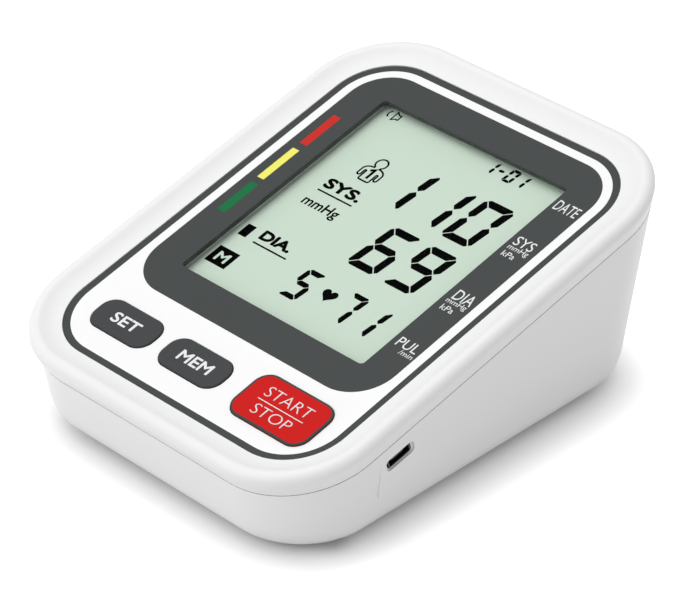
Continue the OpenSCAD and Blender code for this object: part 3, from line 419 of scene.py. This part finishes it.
def cell_material(half_length):
    """A cell's dark wrap, with bare metal at both ends."""
    bare_end = 4.4 * MM
    material, tree, shader, place = base_material("cell_wrap")
    split = add_node(tree, "ShaderNodeSeparateXYZ", (-700, 0))
    link(tree, place.outputs["Object"], split.inputs[0])
    distance = add_node(tree, "ShaderNodeMath", (-500, 0), operation="ABSOLUTE")
    link(tree, split.outputs["X"], distance.inputs[0])
    end_cap = add_node(tree, "ShaderNodeMath", (-300, 0), operation="GREATER_THAN")
    end_cap.inputs[1].default_value = half_length - bare_end
    link(tree, distance.outputs[0], end_cap.inputs[0])
    blend = add_node(tree, "ShaderNodeMix", (-100, 100), data_type="RGBA")
    blend.inputs["A"].default_value = (0.03, 0.035, 0.04, 1)
    blend.inputs["B"].default_value = (0.7, 0.7, 0.68, 1)
    link(tree, end_cap.outputs[0], blend.inputs["Factor"])
    link(tree, blend.outputs["Result"], shader.inputs["Base Color"])
    link(tree, end_cap.outputs[0], shader.inputs["Metallic"])
    shader.inputs["Roughness"].default_value = 0.32
    return material


def ink(name, colour, shine=0.12):
    """Screen-printed ink, matt and slightly uneven."""
    return plastic(name, colour, roughness=0.5, drift=0.08, grain=5000.0, depth=0.002 * MM, shine=shine)


def smooth_edges_group():
    """Geometry nodes: joins loose triangles, shades them smooth and keeps real corners sharp."""
    name = "smooth_edges"
    if name in bpy.data.node_groups:
        return bpy.data.node_groups[name]
    group = bpy.data.node_groups.new(name, "GeometryNodeTree")
    group.interface.new_socket("Geometry", in_out="INPUT", socket_type="NodeSocketGeometry")
    group.interface.new_socket("Geometry", in_out="OUTPUT", socket_type="NodeSocketGeometry")
    start = add_node(group, "NodeGroupInput", (-800, 0))
    end = add_node(group, "NodeGroupOutput", (400, 0))
    joined = add_node(group, "GeometryNodeMergeByDistance", (-600, 0))
    joined.inputs["Distance"].default_value = 0.001 * MM
    soft = add_node(group, "GeometryNodeSetShadeSmooth", (-400, 0), domain="FACE")
    angle = add_node(group, "GeometryNodeInputMeshEdgeAngle", (-600, -200))
    corner = add_node(
        group, "FunctionNodeCompare", (-400, -200), data_type="FLOAT", operation="GREATER_THAN"
    )
    corner.inputs["B"].default_value = SHARP_ANGLE
    sharp = add_node(group, "GeometryNodeSetShadeSmooth", (0, 0), domain="EDGE")
    sharp.inputs["Shade Smooth"].default_value = False
    link(group, start.outputs["Geometry"], joined.inputs["Geometry"])
    link(group, joined.outputs["Geometry"], soft.inputs["Geometry"])
    link(group, soft.outputs["Geometry"], sharp.inputs["Geometry"])
    link(group, angle.outputs["Unsigned Angle"], corner.inputs["A"])
    link(group, corner.outputs["Result"], sharp.inputs["Selection"])
    link(group, sharp.outputs["Geometry"], end.inputs["Geometry"])
    return group


def dress(node, material):
    """Gives a CAD node its finish and smooth shading."""
    piece = frame["nodes"][node]
    piece.data.materials.clear()
    piece.data.materials.append(material)
    shading = piece.modifiers.new("smooth_edges", "NODES")
    shading.node_group = smooth_edges_group()
    weighted = piece.modifiers.new("weighted_normals", "WEIGHTED_NORMAL")
    weighted.keep_sharp = True
    weighted.weight = 60


def new_piece(name, bm, material, body=CASE):
    """Turns a bmesh built in the frame of the face into a piece that rides on a body."""
    bmesh.ops.transform(bm, matrix=FACE, verts=bm.verts)
    bmesh.ops.recalc_face_normals(bm, faces=bm.faces)
    mesh = bpy.data.meshes.new(name)
    bm.to_mesh(mesh)
    bm.free()
    piece = bpy.data.objects.new(name, mesh)
    bpy.context.scene.collection.objects.link(piece)
    mesh.materials.append(material)
    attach(piece, body)


def thicken(bm, faces, height):
    """Extrudes flat faces outwards from the face of the monitor and keeps their undersides."""
    grown = bmesh.ops.extrude_face_region(bm, geom=faces, use_keep_orig=True)
    top = [item for item in grown["geom"] if isinstance(item, bmesh.types.BMVert)]
    bmesh.ops.translate(bm, vec=(0, 0, height), verts=top)


def outline(bm, points, level):
    """A flat shape with corner points in metres, lying at a level over the face."""
    corners = [bm.verts.new((x, y, level)) for x, y in points]
    thicken(bm, [bm.faces.new(corners)], INK)


def arc(centre, radius, start, end, squash=1.0, steps=12):
    """Points along an arc between two angles in degrees."""
    turns = [math.radians(start + (end - start) * step / steps) for step in range(steps + 1)]
    across, up = centre
    return [
        (across + radius * math.cos(turn), up + radius * squash * math.sin(turn)) for turn in turns
    ]


def stroke(bm, points, width, level, height=INK, closed=False):
    """A line of even width through points in millimetres, mitred at its corners."""
    least_cosine = 0.5  # a sharp corner's mitre reaches no further than the line's width
    points = [Vector(point) * MM for point in points]
    rails = []
    for index, point in enumerate(points):
        normals = []
        for start, end in ((index - 1, index), (index, index + 1)):
            if closed or (start >= 0 and end < len(points)):
                run = (points[end % len(points)] - points[start]).normalized()
                normals.append(Vector((-run.y, run.x)))
        mitre = sum(normals, Vector((0, 0))).normalized()
        reach = mitre * width / 2 / max(mitre.dot(normals[0]), least_cosine)
        rails.append([bm.verts.new((*(point + side * reach), level)) for side in (-1, 1)])
    if closed:
        rails.append(rails[0])
    faces = [
        bm.faces.new((low, next_low, next_high, high))
        for (low, high), (next_low, next_high) in zip(rails, rails[1:])
    ]
    thicken(bm, faces, height)


def strip(bm, box, level):
    """A plain printed rectangle: left, right, low and high in millimetres."""
    left, right, low, high = (value * MM for value in box)
    outline(bm, [(left, low), (right, low), (right, high), (left, high)], level)


# The lit bars of each sign, with the letters that segment_shapes gives them
LIT = {
    "0": "abcdef", "1": "bc", "2": "abged", "3": "abgcd", "4": "fgbc", "5": "afgcd", "6": "afgedc",
    "7": "abc", "8": "abcdefg", "9": "abcdfg", "-": "g",
}
SLANT = 0.11  # lean of a digit per unit of its height


def segment_shapes(width, height, thick, gap, corner):
    """Corner points of the seven bars of an upright digit, cut at 45 degrees where they meet."""
    cut = gap / math.sqrt(2)
    near, far = (corner - cut) / 2, (corner + cut) / 2
    middle = 0.52 * height
    waist = 0.7 * gap
    across = [
        (corner, 0), (width - corner, 0), (width - far, near), (width - thick - cut, thick),
        (thick + cut, thick), (far, near),
    ]

    def upright(end, way):
        return [
            (0, end - way * corner), (near, end - way * far), (thick, end - way * (thick + cut)),
            (thick, middle + way * (thick / 2 + waist)), (thick / 2, middle + way * waist),
            (0, middle + way * (thick / 2 + waist)),
        ]

    def mirrored(shape):
        return [(width - x, y) for x, y in shape]

    left_tip, right_tip = thick / 2 + waist, width - thick / 2 - waist
    return {
        "a": [(x, height - y) for x, y in across],
        "b": mirrored(upright(height, 1)),
        "c": mirrored(upright(0, -1)),
        "d": across,
        "e": upright(0, -1),
        "f": upright(height, 1),
        "g": [
            (left_tip, middle), (left_tip + thick / 2, middle + thick / 2),
            (right_tip - thick / 2, middle + thick / 2), (right_tip, middle),
            (right_tip - thick / 2, middle - thick / 2), (left_tip + thick / 2, middle - thick / 2),
        ],
    }


def seven_segments(bm, digit, left, low, width, height, weight, level):
    """One display digit made of its lit bars, which leans to the right.

    Weight is a bar's thickness as a share of the digit's width.
    """
    thick = weight * width
    gap, corner = 0.12 * thick, 0.6 * thick
    shapes = segment_shapes(width, height, thick, gap, corner)
    for name in LIT[digit]:
        outline(bm, [(left + x + y * SLANT, low + y) for x, y in shapes[name]], level)


def embolden(bm, bold):
    """Lays shifted copies of flat letters on each other, each a trace higher than the last."""
    letters = bm.faces[:]
    copies = 8
    rise = 0.05 * INK
    for step in range(copies):
        turn = 2 * math.pi * step / copies
        grown = bmesh.ops.duplicate(bm, geom=letters)
        moved = [item for item in grown["geom"] if isinstance(item, bmesh.types.BMVert)]
        shift = (bold * math.cos(turn), bold * math.sin(turn), rise * (step + 1))
        bmesh.ops.translate(bm, vec=shift, verts=moved)


def flat_letters(words, thin):
    """Flat letters as a bmesh, in units of the font, with their strokes drawn in by thin."""
    curve = bpy.data.curves.new("letters", "FONT")
    curve.body = words
    curve.offset = -thin
    curve.resolution_u = 4
    holder = bpy.data.objects.new("letters", curve)
    bpy.context.scene.collection.objects.link(holder)
    seen = holder.evaluated_get(bpy.context.evaluated_depsgraph_get())
    mesh = bpy.data.meshes.new_from_object(seen)
    bm = bmesh.new()
    bm.from_mesh(mesh)
    bpy.data.objects.remove(holder)
    bpy.data.curves.remove(curve)
    bpy.data.meshes.remove(mesh)
    same_point = 0.0005
    bmesh.ops.remove_doubles(bm, verts=bm.verts, dist=same_point)
    return bm


def lettering(name, words, box, level, material, body=CASE, bold=0.0, thin=0.0):
    """Words fitted into a box (left, right, low, high) in millimetres.

    Bold widens the strokes in millimetres, and thin draws them in, in units of the font.
    """
    left, right, low, high = (value * MM for value in box)
    bold *= MM
    bm = flat_letters(words, thin)
    xs = [vertex.co.x for vertex in bm.verts]
    ys = [vertex.co.y for vertex in bm.verts]
    wider = (right - left - 2 * bold) / (max(xs) - min(xs))
    taller = (high - low - 2 * bold) / (max(ys) - min(ys))
    from_corner = Matrix.Translation((-min(xs), -min(ys), 0))
    to_box = Matrix.Translation((left + bold, low + bold, level))
    fit = to_box @ Matrix.Diagonal((wider, taller, 1, 1)) @ from_corner
    bmesh.ops.transform(bm, matrix=fit, verts=bm.verts)
    if bold:
        embolden(bm, bold)
    thicken(bm, bm.faces[:], INK)
    new_piece(name, bm, material, body)


class MONITOR_OT_case(bpy.types.Operator):
    """Finish the two shells, the battery cover, the feet and the screws"""

    bl_idname = "monitor.case"
    bl_label = "Case"

    def execute(self, context):
        colours = context.scene.monitor_colours
        white = shell_material(colours.shell)
        for node in ("lower_case", "upper_cover", "battery_cover"):
            dress(node, white)
        rubber = plastic(
            "foot_rubber", (0.03, 0.03, 0.032, 1), roughness=0.75, drift=0.2, grain=1800.0, depth=0.03 * MM
        )
        dress("rubber_feet", rubber)
        steel = metal("screw_steel", (0.55, 0.55, 0.56, 1), roughness=0.28)
        for node in ("case_screws", "board_screws"):
            dress(node, steel)
        return {"FINISHED"}


class MONITOR_OT_face(bpy.types.Operator):
    """Finish the face sheet, its dark band and the display surround, and print its legends"""

    bl_idname = "monitor.face"
    bl_label = "Face and legends"

    # Name, words and box in millimetres
    legends = (
        ("date_legend", "DATE", (34.4, 41.8, 41.4, 45.0)),
        ("upper_legend", "SYS", (34.75, 40.95, 26.1, 29.4)),
        ("upper_unit", "mmHg", (34.7, 41.3, 23.8, 26.0)),
        ("upper_second_unit", "kPa", (35.0, 39.0, 21.6, 23.5)),
        ("lower_legend", "DIA", (35.4, 41.6, 3.2, 6.8)),
        ("lower_unit", "mmHg", (34.9, 41.5, 1.1, 3.2)),
        ("lower_second_unit", "kPa", (35.4, 39.4, -1.1, 0.8)),
        ("pulse_legend", "PUL", (34.9, 41.7, -16.5, -13.4)),
        ("pulse_unit", "/min", (37.8, 42.2, -18.4, -16.8)),
    )

    def execute(self, context):
        colours = context.scene.monitor_colours
        white = plastic("face_white", colours.face, roughness=0.38, drift=0.01, grain=4000.0)
        dress("face_sheet", white)
        dark = plastic(
            "surround_grey", colours.surround, roughness=0.42, drift=0.1, grain=4000.0, shine=0.15
        )
        for node in ("face_band", "display_surround"):
            dress(node, dark)
        pale = ink("legend_white", colours.legend)
        for name, words, box in self.legends:
            lettering(name, words, box, level=0.0, material=pale)
        for name, box, finish, colour in (
            ("high_bar", (-39.9, -37.3, 24.4, 37.3), "scale_red", colours.scale_red),
            ("middle_bar", (-40.0, -37.6, 8.7, 22.0), "scale_yellow", colours.scale_yellow),
            ("low_bar", (-39.9, -37.2, -5.9, 6.4), "scale_green", colours.scale_green),
        ):
            bm = bmesh.new()
            strip(bm, box, level=0.0)
            new_piece(name, bm, ink(finish, colour))
        return {"FINISHED"}


class MONITOR_OT_display(bpy.types.Operator):
    """Finish the display glass and its window, and light its digits and signs"""

    bl_idname = "monitor.display"
    bl_label = "Display"

    def execute(self, context):
        colours = context.scene.monitor_colours
        self.sizes = context.scene.monitor_sizes
        self.level = level_of("display_glass")
        self.dark = ink("segment_black", colours.segment, shine=0.01)
        dress("display_glass", display_material(colours.display))
        dress("display_lens", lens_material())
        dress("display_holder", plastic("holder_white", (0.75, 0.75, 0.72, 1)))
        rubber = plastic("contact_rubber", (0.06, 0.06, 0.065, 1), roughness=0.7, drift=0.1)
        dress("display_connectors", rubber)
        self.readings()
        self.words(colours)
        self.signs()
        return {"FINISHED"}

    def readings(self):
        """The two pressures, the pulse, the memory place and the date."""
        sizes = self.sizes
        # Width, height and a bar's share of the width
        big = (sizes.big_width, sizes.big_digit, 0.235)
        small = (sizes.small_width, sizes.small_digit, 0.27)
        tiny = (sizes.date_width, sizes.date_digit, 0.3)
        date = [("1", 6.0 * MM), ("-", 9.4 * MM), ("0", 13.0 * MM), ("1", 16.6 * MM)]
        for name, digits, low, shape in (
            ("upper_digits", self.row("110", -12.2, sizes.big_pitch), 20.7, big),
            ("lower_digits", self.row("69", 0.25, sizes.big_pitch), 0.05, big),
            ("memory_digit", self.row("5", -6.5, sizes.small_pitch), -17.7, small),
            ("pulse_digits", self.row("71", 9.2, sizes.small_pitch), -17.7, small),
            ("date_digits", date, 44.45, tiny),
        ):
            bm = bmesh.new()
            for digit, left in digits:
                seven_segments(bm, digit, left, low * MM, *shape, self.level)
            new_piece(name, bm, self.dark)

    def row(self, digits, left, pitch):
        """Each digit of a row with its left edge."""
        return [(digit, left * MM + place * pitch) for place, digit in enumerate(digits)]

    def words(self, colours):
        """The names of the readings, their unit, the underlines and the memory sign."""
        for name, words, box, bold in (
            ("upper_word", "SYS.", (-25.55, -12.8, 17.4, 21.3), 0.25),
            ("unit_word", "mmHg", (-25.9, -13.4, 8.8, 13.2), 0.09),
            ("lower_word", "DIA.", (-25.5, -14.6, -6.2, -2.6), 0.26),
        ):
            lettering(name, words, box, self.level, self.dark, bold=bold)
        underlines = [(-25.5, 16.0), (-13.05, 16.0)], [(-25.5, -7.8), (-13.3, -7.8)]
        unit_mark = (-31.4, -28.5, -7.8, -3.4)
        memory_box = (-31.8, -24.5, -19.4, -13.25)
        bm = bmesh.new()
        for ends in underlines:
            stroke(bm, ends, self.sizes.line, self.level)
        for box in (unit_mark, memory_box):
            strip(bm, box, self.level)
        new_piece("display_lines", bm, self.dark)
        pale = ink("memory_letter_green", colours.display)
        over_box = self.level + 1.5 * INK
        lettering(
            "memory_letter", "M", (-30.0, -26.0, -18.1, -14.7), over_box, pale, bold=0.12,
        )

    def signs(self):
        """Heart, sound sign and the outline of a person with the number one."""
        bm = bmesh.new()
        outline(bm, self.heart(across=5.87, up=-11.15, scale=0.149), self.level)
        new_piece("heart_sign", bm, self.dark)
        line = self.sizes.line
        bm = bmesh.new()
        stroke(bm, self.person(axis=-17.7, line=line / MM), line, self.level, closed=True)
        number_one = [(-18.75, 28.75), (-17.5, 29.5), (-17.5, 25.85)]
        stroke(bm, number_one, 1.6 * line, self.level)
        new_piece("person_sign", bm, self.dark)
        bm = bmesh.new()
        wave = arc((-29.2, 48.0), 1.45, 125, 235)
        stroke(bm, wave, 0.9 * line, self.level)
        horn = [(-28.5, 46.3), (-27.5, 47.1), (-26.6, 47.1), (-26.6, 48.8), (-27.5, 48.8), (-28.5, 49.6)]
        stroke(bm, horn, 0.85 * line, self.level, closed=True)
        new_piece("sound_sign", bm, self.dark)

    def heart(self, across, up, scale):
        """Outline of a heart in metres, by the usual formula, round a middle in millimetres."""
        steps = 40
        points = []
        for turn in (2 * math.pi * step / steps for step in range(steps)):
            x = 16 * math.sin(turn) ** 3
            y = 13 * math.cos(turn) - 5 * math.cos(2 * turn) - 2 * math.cos(3 * turn) - math.cos(4 * turn)
            points.append(((across + x * scale) * MM, (up + y * scale) * MM))
        return points

    def person(self, axis, line):
        """A person as one closed line in millimetres, drawn for one side and mirrored."""
        side = [
            *arc((0, 32.1), 2.05 - line / 2, 90, -60),  # head
            *arc((0.9, 28.4), 2.6, 90, 0, squash=0.7),  # shoulder
            *arc((2.95, 26.6), 0.55, 0, -180),  # hand
            *arc((2.1, 28.0), 0.3, 0, 180, steps=6),  # under the arm
            *arc((1.35, 25.3), 0.5, 0, -90, steps=6),  # hip
        ]
        return [(axis + x, y) for x, y in side] + [(axis - x, y) for x, y in reversed(side[1:])]


class MONITOR_OT_keys(bpy.types.Operator):
    """Finish the three keys and print their words"""

    bl_idname = "monitor.keys"
    bl_label = "Keys"

    # Name, words, box in millimetres, key, slot, bold and thin
    words = (
        ("set_word", "SET", (-32.9, -23.3, -51.0, -47.5), "set_key", "dark_key", 0.11, 0.0),
        ("memory_word", "MEM", (-8.0, 3.3, -51.0, -47.5), "memory_key", "dark_key", 0.11, 0.0),
        ("start_word", "START", (20.2, 35.6, -47.6, -44.2), "start_key", "red_key", 0.0, 0.013),
        ("stop_word", "STOP", (21.3, 34.0, -53.5, -50.2), "start_key", "red_key", 0.0, 0.013),
    )

    def execute(self, context):
        colours = context.scene.monitor_colours
        dark = plastic("key_grey", colours.key_dark, roughness=0.42, drift=0.1, shine=0.15)
        red = plastic("key_red", colours.key_red, roughness=0.42, drift=0.06, shine=0.12)
        for key, finish in (("set_key", dark), ("memory_key", dark), ("start_key", red)):
            dress(key, finish)
        pale = ink("key_print", colours.legend)
        top = level_of("set_key")
        for name, words, box, key, slot, bold, thin in self.words:
            lettering(name, words, box, top, pale, key, bold, thin)
        between_words = [(20.0, -49.0), (35.6, -49.0)]
        bm = bmesh.new()
        stroke(bm, between_words, 0.48 * context.scene.monitor_sizes.line, top)
        new_piece("start_line", bm, pale, "start_key")
        self.border("start_border", "start_key", top, ink("key_border", colours.surround))
        ivory = plastic("plunger_ivory", (0.72, 0.7, 0.62, 1), roughness=0.4)
        for node in ("set_plunger", "memory_plunger", "start_plunger"):
            dress(node, ivory)
        return {"FINISHED"}

    def border(self, name, key, top, material, width=0.55, corner=4.3):
        """A dark frame round a key's edge, from the face up to just over its top.

        Width and corner are in millimetres.
        """
        over_face, overhang = 0.05, 0.05
        to_face = FACE.inverted()
        places = [to_face @ vertex.co / MM for vertex in frame["nodes"][key].data.vertices]
        raised = [place for place in places if place.z > over_face]
        inset = width / 2 - overhang
        left = min(place.x for place in raised) + inset
        right = max(place.x for place in raised) - inset
        low = min(place.y for place in raised) + inset
        high = max(place.y for place in raised) - inset
        radius = corner - inset
        points = [
            *arc((right - radius, high - radius), radius, 0, 90),
            *arc((left + radius, high - radius), radius, 90, 180),
            *arc((left + radius, low + radius), radius, 180, 270),
            *arc((right - radius, low + radius), radius, 270, 360),
        ]
        bm = bmesh.new()
        stroke(bm, points, width * MM, 0.0, top + INK, closed=True)
        new_piece(name, bm, material, key)


class MONITOR_OT_sockets(bpy.types.Operator):
    """Finish the power socket and the cuff's air socket"""

    bl_idname = "monitor.sockets"
    bl_label = "Sockets"

    def execute(self, context):
        # The near-black colour of the socket's steel is painted shade for the shadowed inside of the port.
        dress("usb_receptacle", metal("socket_steel_painted_dark", (0.07, 0.07, 0.075, 1), roughness=0.4))
        dress("cuff_socket", plastic("socket_grey", (0.62, 0.64, 0.66, 1), roughness=0.35))
        return {"FINISHED"}


class MONITOR_OT_insides(bpy.types.Operator):
    """Finish the board, the pump, the valve, the air path and the wires"""

    bl_idname = "monitor.insides"
    bl_label = "Insides"

    def execute(self, context):
        dress("main_board", board_material())
        black = plastic("component_black", (0.016, 0.016, 0.018, 1), roughness=0.45, drift=0.15)
        for node in ("board_chips", "buzzer", "key_switches", "pump_head"):
            dress(node, black)
        dress("pressure_sensor", plastic("sensor_ivory", (0.66, 0.65, 0.6, 1), roughness=0.4))
        white = plastic("connector_white", (0.78, 0.76, 0.7, 1), roughness=0.45)
        for node in ("wire_connectors", "air_manifold", "pump_strap"):
            dress(node, white)
        tube = plastic("tube_silicone", (0.72, 0.75, 0.76, 1), roughness=0.28, drift=0.04)
        for node in ("socket_tube", "pump_tube", "valve_tube", "sensor_tube"):
            dress(node, tube)
        dress("release_valve", plastic("valve_blue", (0.03, 0.1, 0.34, 1), roughness=0.4))
        dress("pump_motor", metal("motor_steel", (0.6, 0.6, 0.61, 1), roughness=0.35, lines=1400.0))
        sleeve = plastic("sleeve_rubber", (0.03, 0.03, 0.03, 1), roughness=0.7, drift=0.2)
        dress("motor_sleeve", sleeve)
        wire = plastic("wire_red", (0.5, 0.015, 0.012, 1), roughness=0.4)
        for node in ("battery_leads", "pump_leads"):
            dress(node, wire)
        return {"FINISHED"}


class MONITOR_OT_battery(bpy.types.Operator):
    """Finish the cells, their springs and their contact plates"""

    bl_idname = "monitor.battery"
    bl_label = "Battery bay"

    def execute(self, context):
        low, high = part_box("battery_cells")
        dress("battery_cells", cell_material((high.x - low.x) / 2))
        nickel = metal("contact_nickel", (0.7, 0.69, 0.66, 1), roughness=0.22)
        for node in ("battery_springs", "battery_contacts"):
            dress(node, nickel)
        return {"FINISHED"}


class MONITOR_OT_stage(bpy.types.Operator):
    """Set up the pale floor, the soft lamps and the camera"""

    bl_idname = "monitor.stage"
    bl_label = "Stage"

    def execute(self, context):
        studio = context.scene.monitor_studio
        context.scene.view_settings.view_transform = "Standard"
        self.floor(context, studio)
        self.sky(context, studio)
        self.lamp(context, "key_lamp", studio.key_light, studio.key_place, size=1.0)
        self.lamp(context, "fill_lamp", studio.fill_light, studio.fill_place, size=0.8)
        self.camera(context, studio)
        return {"FINISHED"}

    def floor(self, context, studio):
        """The plain floor, wider than any view of the monitor."""
        half_width = 4
        bm = bmesh.new()
        bmesh.ops.create_grid(bm, x_segments=1, y_segments=1, size=half_width)
        mesh = bpy.data.meshes.new("floor")
        bm.to_mesh(mesh)
        bm.free()
        floor = bpy.data.objects.new("floor", mesh)
        context.scene.collection.objects.link(floor)
        mesh.materials.append(self.floor_material(studio))

    def floor_material(self, studio):
        """Matt floor with a glow for camera and reflections, dimmed close to the monitor as a painted
        contact shadow.
        """
        fall_off = 1.5
        material = bpy.data.materials.new("pale_floor")
        material.use_nodes = True
        tree = material.node_tree
        tree.nodes.clear()
        output = add_node(tree, "ShaderNodeOutputMaterial", (600, 0))
        matt = add_node(tree, "ShaderNodeBsdfDiffuse", (0, 100))
        matt.inputs["Color"].default_value = studio.floor
        glow = add_node(tree, "ShaderNodeEmission", (0, -200))
        rays = add_node(tree, "ShaderNodeLightPath", (-600, -200))
        seen = add_node(tree, "ShaderNodeMath", (-400, -200), operation="MAXIMUM")
        link(tree, rays.outputs["Is Camera Ray"], seen.inputs[0])
        link(tree, rays.outputs["Is Glossy Ray"], seen.inputs[1])
        # Painted contact shadow: ambient occlusion round the monitor dims the floor's glow.
        contact = add_node(tree, "ShaderNodeAmbientOcclusion", (-800, -450), samples=8)
        contact.inputs["Distance"].default_value = studio.shade
        unshadowed_share = add_node(tree, "ShaderNodeMath", (-600, -450), operation="POWER")
        unshadowed_share.inputs[1].default_value = fall_off
        link(tree, contact.outputs["AO"], unshadowed_share.inputs[0])
        dimmed = add_node(tree, "ShaderNodeMath", (-400, -400), operation="MULTIPLY")
        dimmed.inputs[1].default_value = studio.glow
        link(tree, unshadowed_share.outputs[0], dimmed.inputs[0])
        level = add_node(tree, "ShaderNodeMath", (-200, -200), operation="MULTIPLY")
        link(tree, seen.outputs[0], level.inputs[0])
        link(tree, dimmed.outputs[0], level.inputs[1])
        link(tree, level.outputs[0], glow.inputs["Strength"])
        both = add_node(tree, "ShaderNodeAddShader", (300, 0))
        link(tree, matt.outputs[0], both.inputs[0])
        link(tree, glow.outputs[0], both.inputs[1])
        link(tree, both.outputs[0], output.inputs["Surface"])
        return material

    def sky(self, context, studio):
        """Even light from all round, with a plain white backdrop for the camera."""
        world = bpy.data.worlds.new("studio_sky")
        context.scene.world = world
        world.use_nodes = True
        tree = world.node_tree
        tree.nodes.clear()
        output = add_node(tree, "ShaderNodeOutputWorld", (600, 0))
        light = add_node(tree, "ShaderNodeBackground", (0, 100))
        light.inputs["Color"].default_value = (1, 1, 1, 1)
        light.inputs["Strength"].default_value = studio.sky
        backdrop = add_node(tree, "ShaderNodeBackground", (0, -100))
        backdrop.inputs["Color"].default_value = (1, 1, 1, 1)
        rays = add_node(tree, "ShaderNodeLightPath", (-300, 300))
        choice = add_node(tree, "ShaderNodeMixShader", (300, 0))
        link(tree, rays.outputs["Is Camera Ray"], choice.inputs["Fac"])
        link(tree, light.outputs[0], choice.inputs[1])
        link(tree, backdrop.outputs[0], choice.inputs[2])
        link(tree, choice.outputs[0], output.inputs["Surface"])

    def lamp(self, context, name, power, place, size):
        """A square lamp that faces the middle of the stage."""
        data = bpy.data.lights.new(name, "AREA")
        data.energy = power
        data.size = size
        lamp = bpy.data.objects.new(name, data)
        lamp.location = place
        lamp.rotation_euler = (-Vector(place)).to_track_quat("-Z", "Y").to_euler()
        context.scene.collection.objects.link(lamp)

    def camera(self, context, studio):
        """A long lens that looks down on the monitor from beyond its right front corner."""
        data = bpy.data.cameras.new("camera")
        data.sensor_width = 36
        data.lens = studio.lens
        camera = bpy.data.objects.new("camera", data)
        camera.location = FACE.translation + Vector(studio.place)
        camera.rotation_euler = (math.pi / 2 - studio.elevation, 0, studio.azimuth)
        context.scene.collection.objects.link(camera)
        context.scene.camera = camera


class MONITOR_PT_panel(bpy.types.Panel):
    """Lists the monitor's steps, sizes and colours"""

    bl_label = "Blood Pressure Monitor"
    bl_idname = "MONITOR_PT_panel"
    bl_space_type = "VIEW_3D"
    bl_region_type = "UI"
    bl_category = "Monitor"

    def draw(self, context):
        layout = self.layout
        for step in STEPS:
            layout.operator(step.bl_idname)
        scene = context.scene
        for group in (scene.monitor_colours, scene.monitor_sizes, scene.monitor_studio):
            box = layout.box()
            for name in group.__annotations__:
                box.prop(group, name)


STEPS = (
    MONITOR_OT_case,
    MONITOR_OT_face,
    MONITOR_OT_display,
    MONITOR_OT_keys,
    MONITOR_OT_sockets,
    MONITOR_OT_insides,
    MONITOR_OT_battery,
    MONITOR_OT_stage,
)
CLASSES = (MonitorColours, MonitorSizes, MonitorStudio, *STEPS, MONITOR_PT_panel)


def register():
    for item in CLASSES:
        bpy.utils.register_class(item)
    bpy.types.Scene.monitor_colours = bpy.props.PointerProperty(type=MonitorColours)
    bpy.types.Scene.monitor_sizes = bpy.props.PointerProperty(type=MonitorSizes)
    bpy.types.Scene.monitor_studio = bpy.props.PointerProperty(type=MonitorStudio)


def unregister():
    del bpy.types.Scene.monitor_colours
    del bpy.types.Scene.monitor_sizes
    del bpy.types.Scene.monitor_studio
    for item in reversed(CLASSES):
        bpy.utils.unregister_class(item)


def main():
    """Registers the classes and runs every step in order."""
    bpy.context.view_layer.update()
    register()
    bpy.ops.monitor.case()
    bpy.ops.monitor.face()
    bpy.ops.monitor.display()
    bpy.ops.monitor.keys()
    bpy.ops.monitor.sockets()
    bpy.ops.monitor.insides()
    bpy.ops.monitor.battery()
    bpy.ops.monitor.stage()
    bpy.context.view_layer.update()


if __name__ == "__main__":
    main()
